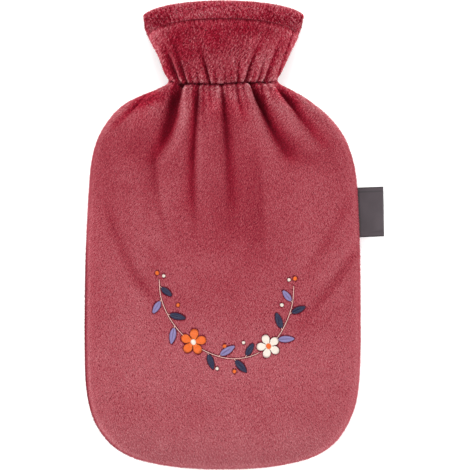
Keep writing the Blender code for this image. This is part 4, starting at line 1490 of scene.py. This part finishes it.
def tabMesh():
    root = float(sideAt(tab["middle"], "right")) + tab["clear"]
    seam = float(heightAt(tab["middle"], "seam"))
    flat = np.linspace(0, tab["reach"] - tab["gap"] / 2 - tab["layer"], tab["stations"])
    turns = np.linspace(0, math.pi, tab["foldSteps"] + 1)[1:-1]
    loops = []
    for half in (tab["gap"] / 2 + tab["layer"], tab["gap"] / 2):
        reach = np.concatenate([flat, flat[-1] + half * np.sin(turns), flat[::-1]])
        level = np.concatenate([np.full(len(flat), half), half * np.cos(turns), np.full(len(flat), -half)])
        loops.append(np.stack([reach, level], 1))
    section = np.concatenate([loops[0], loops[1][::-1]])
    share = np.linspace(-0.5, 0.5, tab["rows"])
    out = section[:, 0] / tab["reach"]
    along = tab["middle"] + tab["length"] * share[:, None] + tab["skew"] * out
    edge = sideAt(along, "right") - sideAt(tab["middle"], "right")
    across = root + section[:, 0] + edge * (1 - out) - tab["splay"] * share[:, None] * out
    wave = tab["wave"] * np.sin(along / tab["waveLength"])
    level = seam + section[:, 1] + (wave - tab["droop"]) * out**2
    points = np.stack([across, along, level], -1)
    rows, columns, _ = points.shape
    number = np.arange(rows * columns).reshape(rows, columns)
    nextColumn = np.roll(number, -1, axis=1)
    quads = np.stack([number[:-1], nextColumn[:-1], nextColumn[1:], number[1:]], -1).reshape(-1, 4)
    u = np.linspace(0.01, 0.97, columns + 1)  # the map: the surface in the middle, the two ends beyond
    v = np.linspace(0.04, 0.96, rows)[:, None]
    maps = cellCorners(*np.broadcast_arrays(u[:-1], u[1:], v[:-1], v[1:])).reshape(-1, 4, 2)
    k = np.arange(columns // 2 - 1)
    capFaces, capMaps = [], []
    for row, low, flip in ((0, 0.005, 1), (rows - 1, 0.97, -1)):
        ends = number[row]
        cap = np.stack([ends[k], ends[columns - 1 - k], ends[columns - 2 - k], ends[k + 1]], 1)
        capFaces.append(cap[:, ::flip])
        capMap = cellCorners(u[k], u[k + 1], 0 * k + low, 0 * k + low + 0.025)
        capMaps.append(capMap[:, [0, 3, 2, 1]][:, ::flip])
    points = points.reshape(-1, 3)
    fromRoot = section[:, 0]
    fromTop = (0.5 - share)[:, None] * tab["length"]
    fromBottom = tab["length"] - fromTop
    fromEdge = np.minimum(np.minimum(fromTop, fromBottom), tab["reach"] - fromRoot + 0.3)
    selvedge = 1 - softStep(fromEdge, tab["selvedge"] - 0.7, tab["selvedge"])
    # dark lines in the edges' colour: one near the top end, painted crease shade near the bottom, and
    # painted shadow at the root
    dark, at = tab["topDarkLine"]
    crease = dark * bell(fromTop - at, tab["darkLineWidth"])
    dark, at = tab["bottomCreaseShade"]  # painted shade of a crease; it shows only near the fold, and slants
    slanted = bell(fromBottom - at - 0.06 * fromRoot, tab["darkLineWidth"])
    crease = crease + dark * slanted * softStep(fromRoot, 8, 14)
    crease += fadeOf(tab, "rootShadow", fromRoot)
    # the selvedge attribute carries the woven edges together with the painted shade
    selvedge = np.clip(np.maximum(selvedge, crease), 0, 1)
    faces, maps = [np.concatenate([quads, *capFaces])], [np.concatenate([maps, *capMaps])]
    faces, maps = facingOut(points, faces, maps)
    return newPiece("sideTab", points, faces, maps, ribbonMaterial(), {"selvedge": selvedge.ravel()})


sideTab = tabMesh()
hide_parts("side_label")
print("tab made")


# a white table under even, soft light, with the camera straight above the middle of the picture
studio = {
    "across": 9.4,
    "along": 46.8,
    "width": 338.4,  # what the picture takes in
    "height": 4000.0,
    "level": 18.0,  # the height that is drawn at true size
    "world": 0.32,
    "lamps": (  # across, along, height, size, watts: left, right, from the bottom, from the top
        (-1700.0, 0.0, 850.0, 800.0, 28.0),
        (1700.0, 0.0, 850.0, 800.0, 27.0),
        (0.0, -1700.0, 1000.0, 900.0, 12.0),
        (0.0, 1500.0, 1300.0, 900.0, 24.0),
    ),
}

# a matt white laminate top, with no gloss, lit so evenly that it looks as white as paper
bpy.ops.mesh.primitive_plane_add(size=8.0, location=(0.0, 0.0, 0.0))
table = bpy.context.object
table.name = "table"
tableTop, tree, shader = newMaterial("matt white laminate", 0.6)
shader.inputs["Base Color"].default_value = linear("#F7F7F7")
shader.inputs["Emission Color"].default_value = linear("#FFFFFF")
shader.inputs["Emission Strength"].default_value = 0.4
table.data.materials.append(tableTop)

world = bpy.data.worlds.new("studio")
world.use_nodes = True
world.node_tree.nodes["Background"].inputs["Color"].default_value = (1.0, 1.0, 1.0, 1.0)
world.node_tree.nodes["Background"].inputs["Strength"].default_value = studio["world"]
bpy.context.scene.world = world

aim = np.array([studio["across"], studio["along"], studio["level"]]) * mm
for k, (across, along, height, size, watts) in enumerate(studio["lamps"]):
    lamp = bpy.data.lights.new(f"softbox{k + 1}", "AREA")
    lamp.size, lamp.energy = size * mm, watts
    holder = bpy.data.objects.new(lamp.name, lamp)
    place = np.array([across, along, height]) * mm
    holder.location = place
    way = aim - place
    tilt, turn = math.atan2(math.hypot(way[0], way[1]), -way[2]), math.atan2(way[1], way[0])
    holder.rotation_euler = (tilt, 0.0, turn - math.pi / 2)
    bpy.context.scene.collection.objects.link(holder)

camera = bpy.data.objects.new("camera", bpy.data.cameras.new("camera"))
camera.location = (aim[0], aim[1], (studio["level"] + studio["height"]) * mm)
camera.data.lens = camera.data.sensor_width * studio["height"] / studio["width"]
camera.data.clip_end = 50.0
bpy.context.scene.collection.objects.link(camera)
bpy.context.scene.camera = camera
bpy.context.scene.view_settings.view_transform = "Standard"
print("studio made")
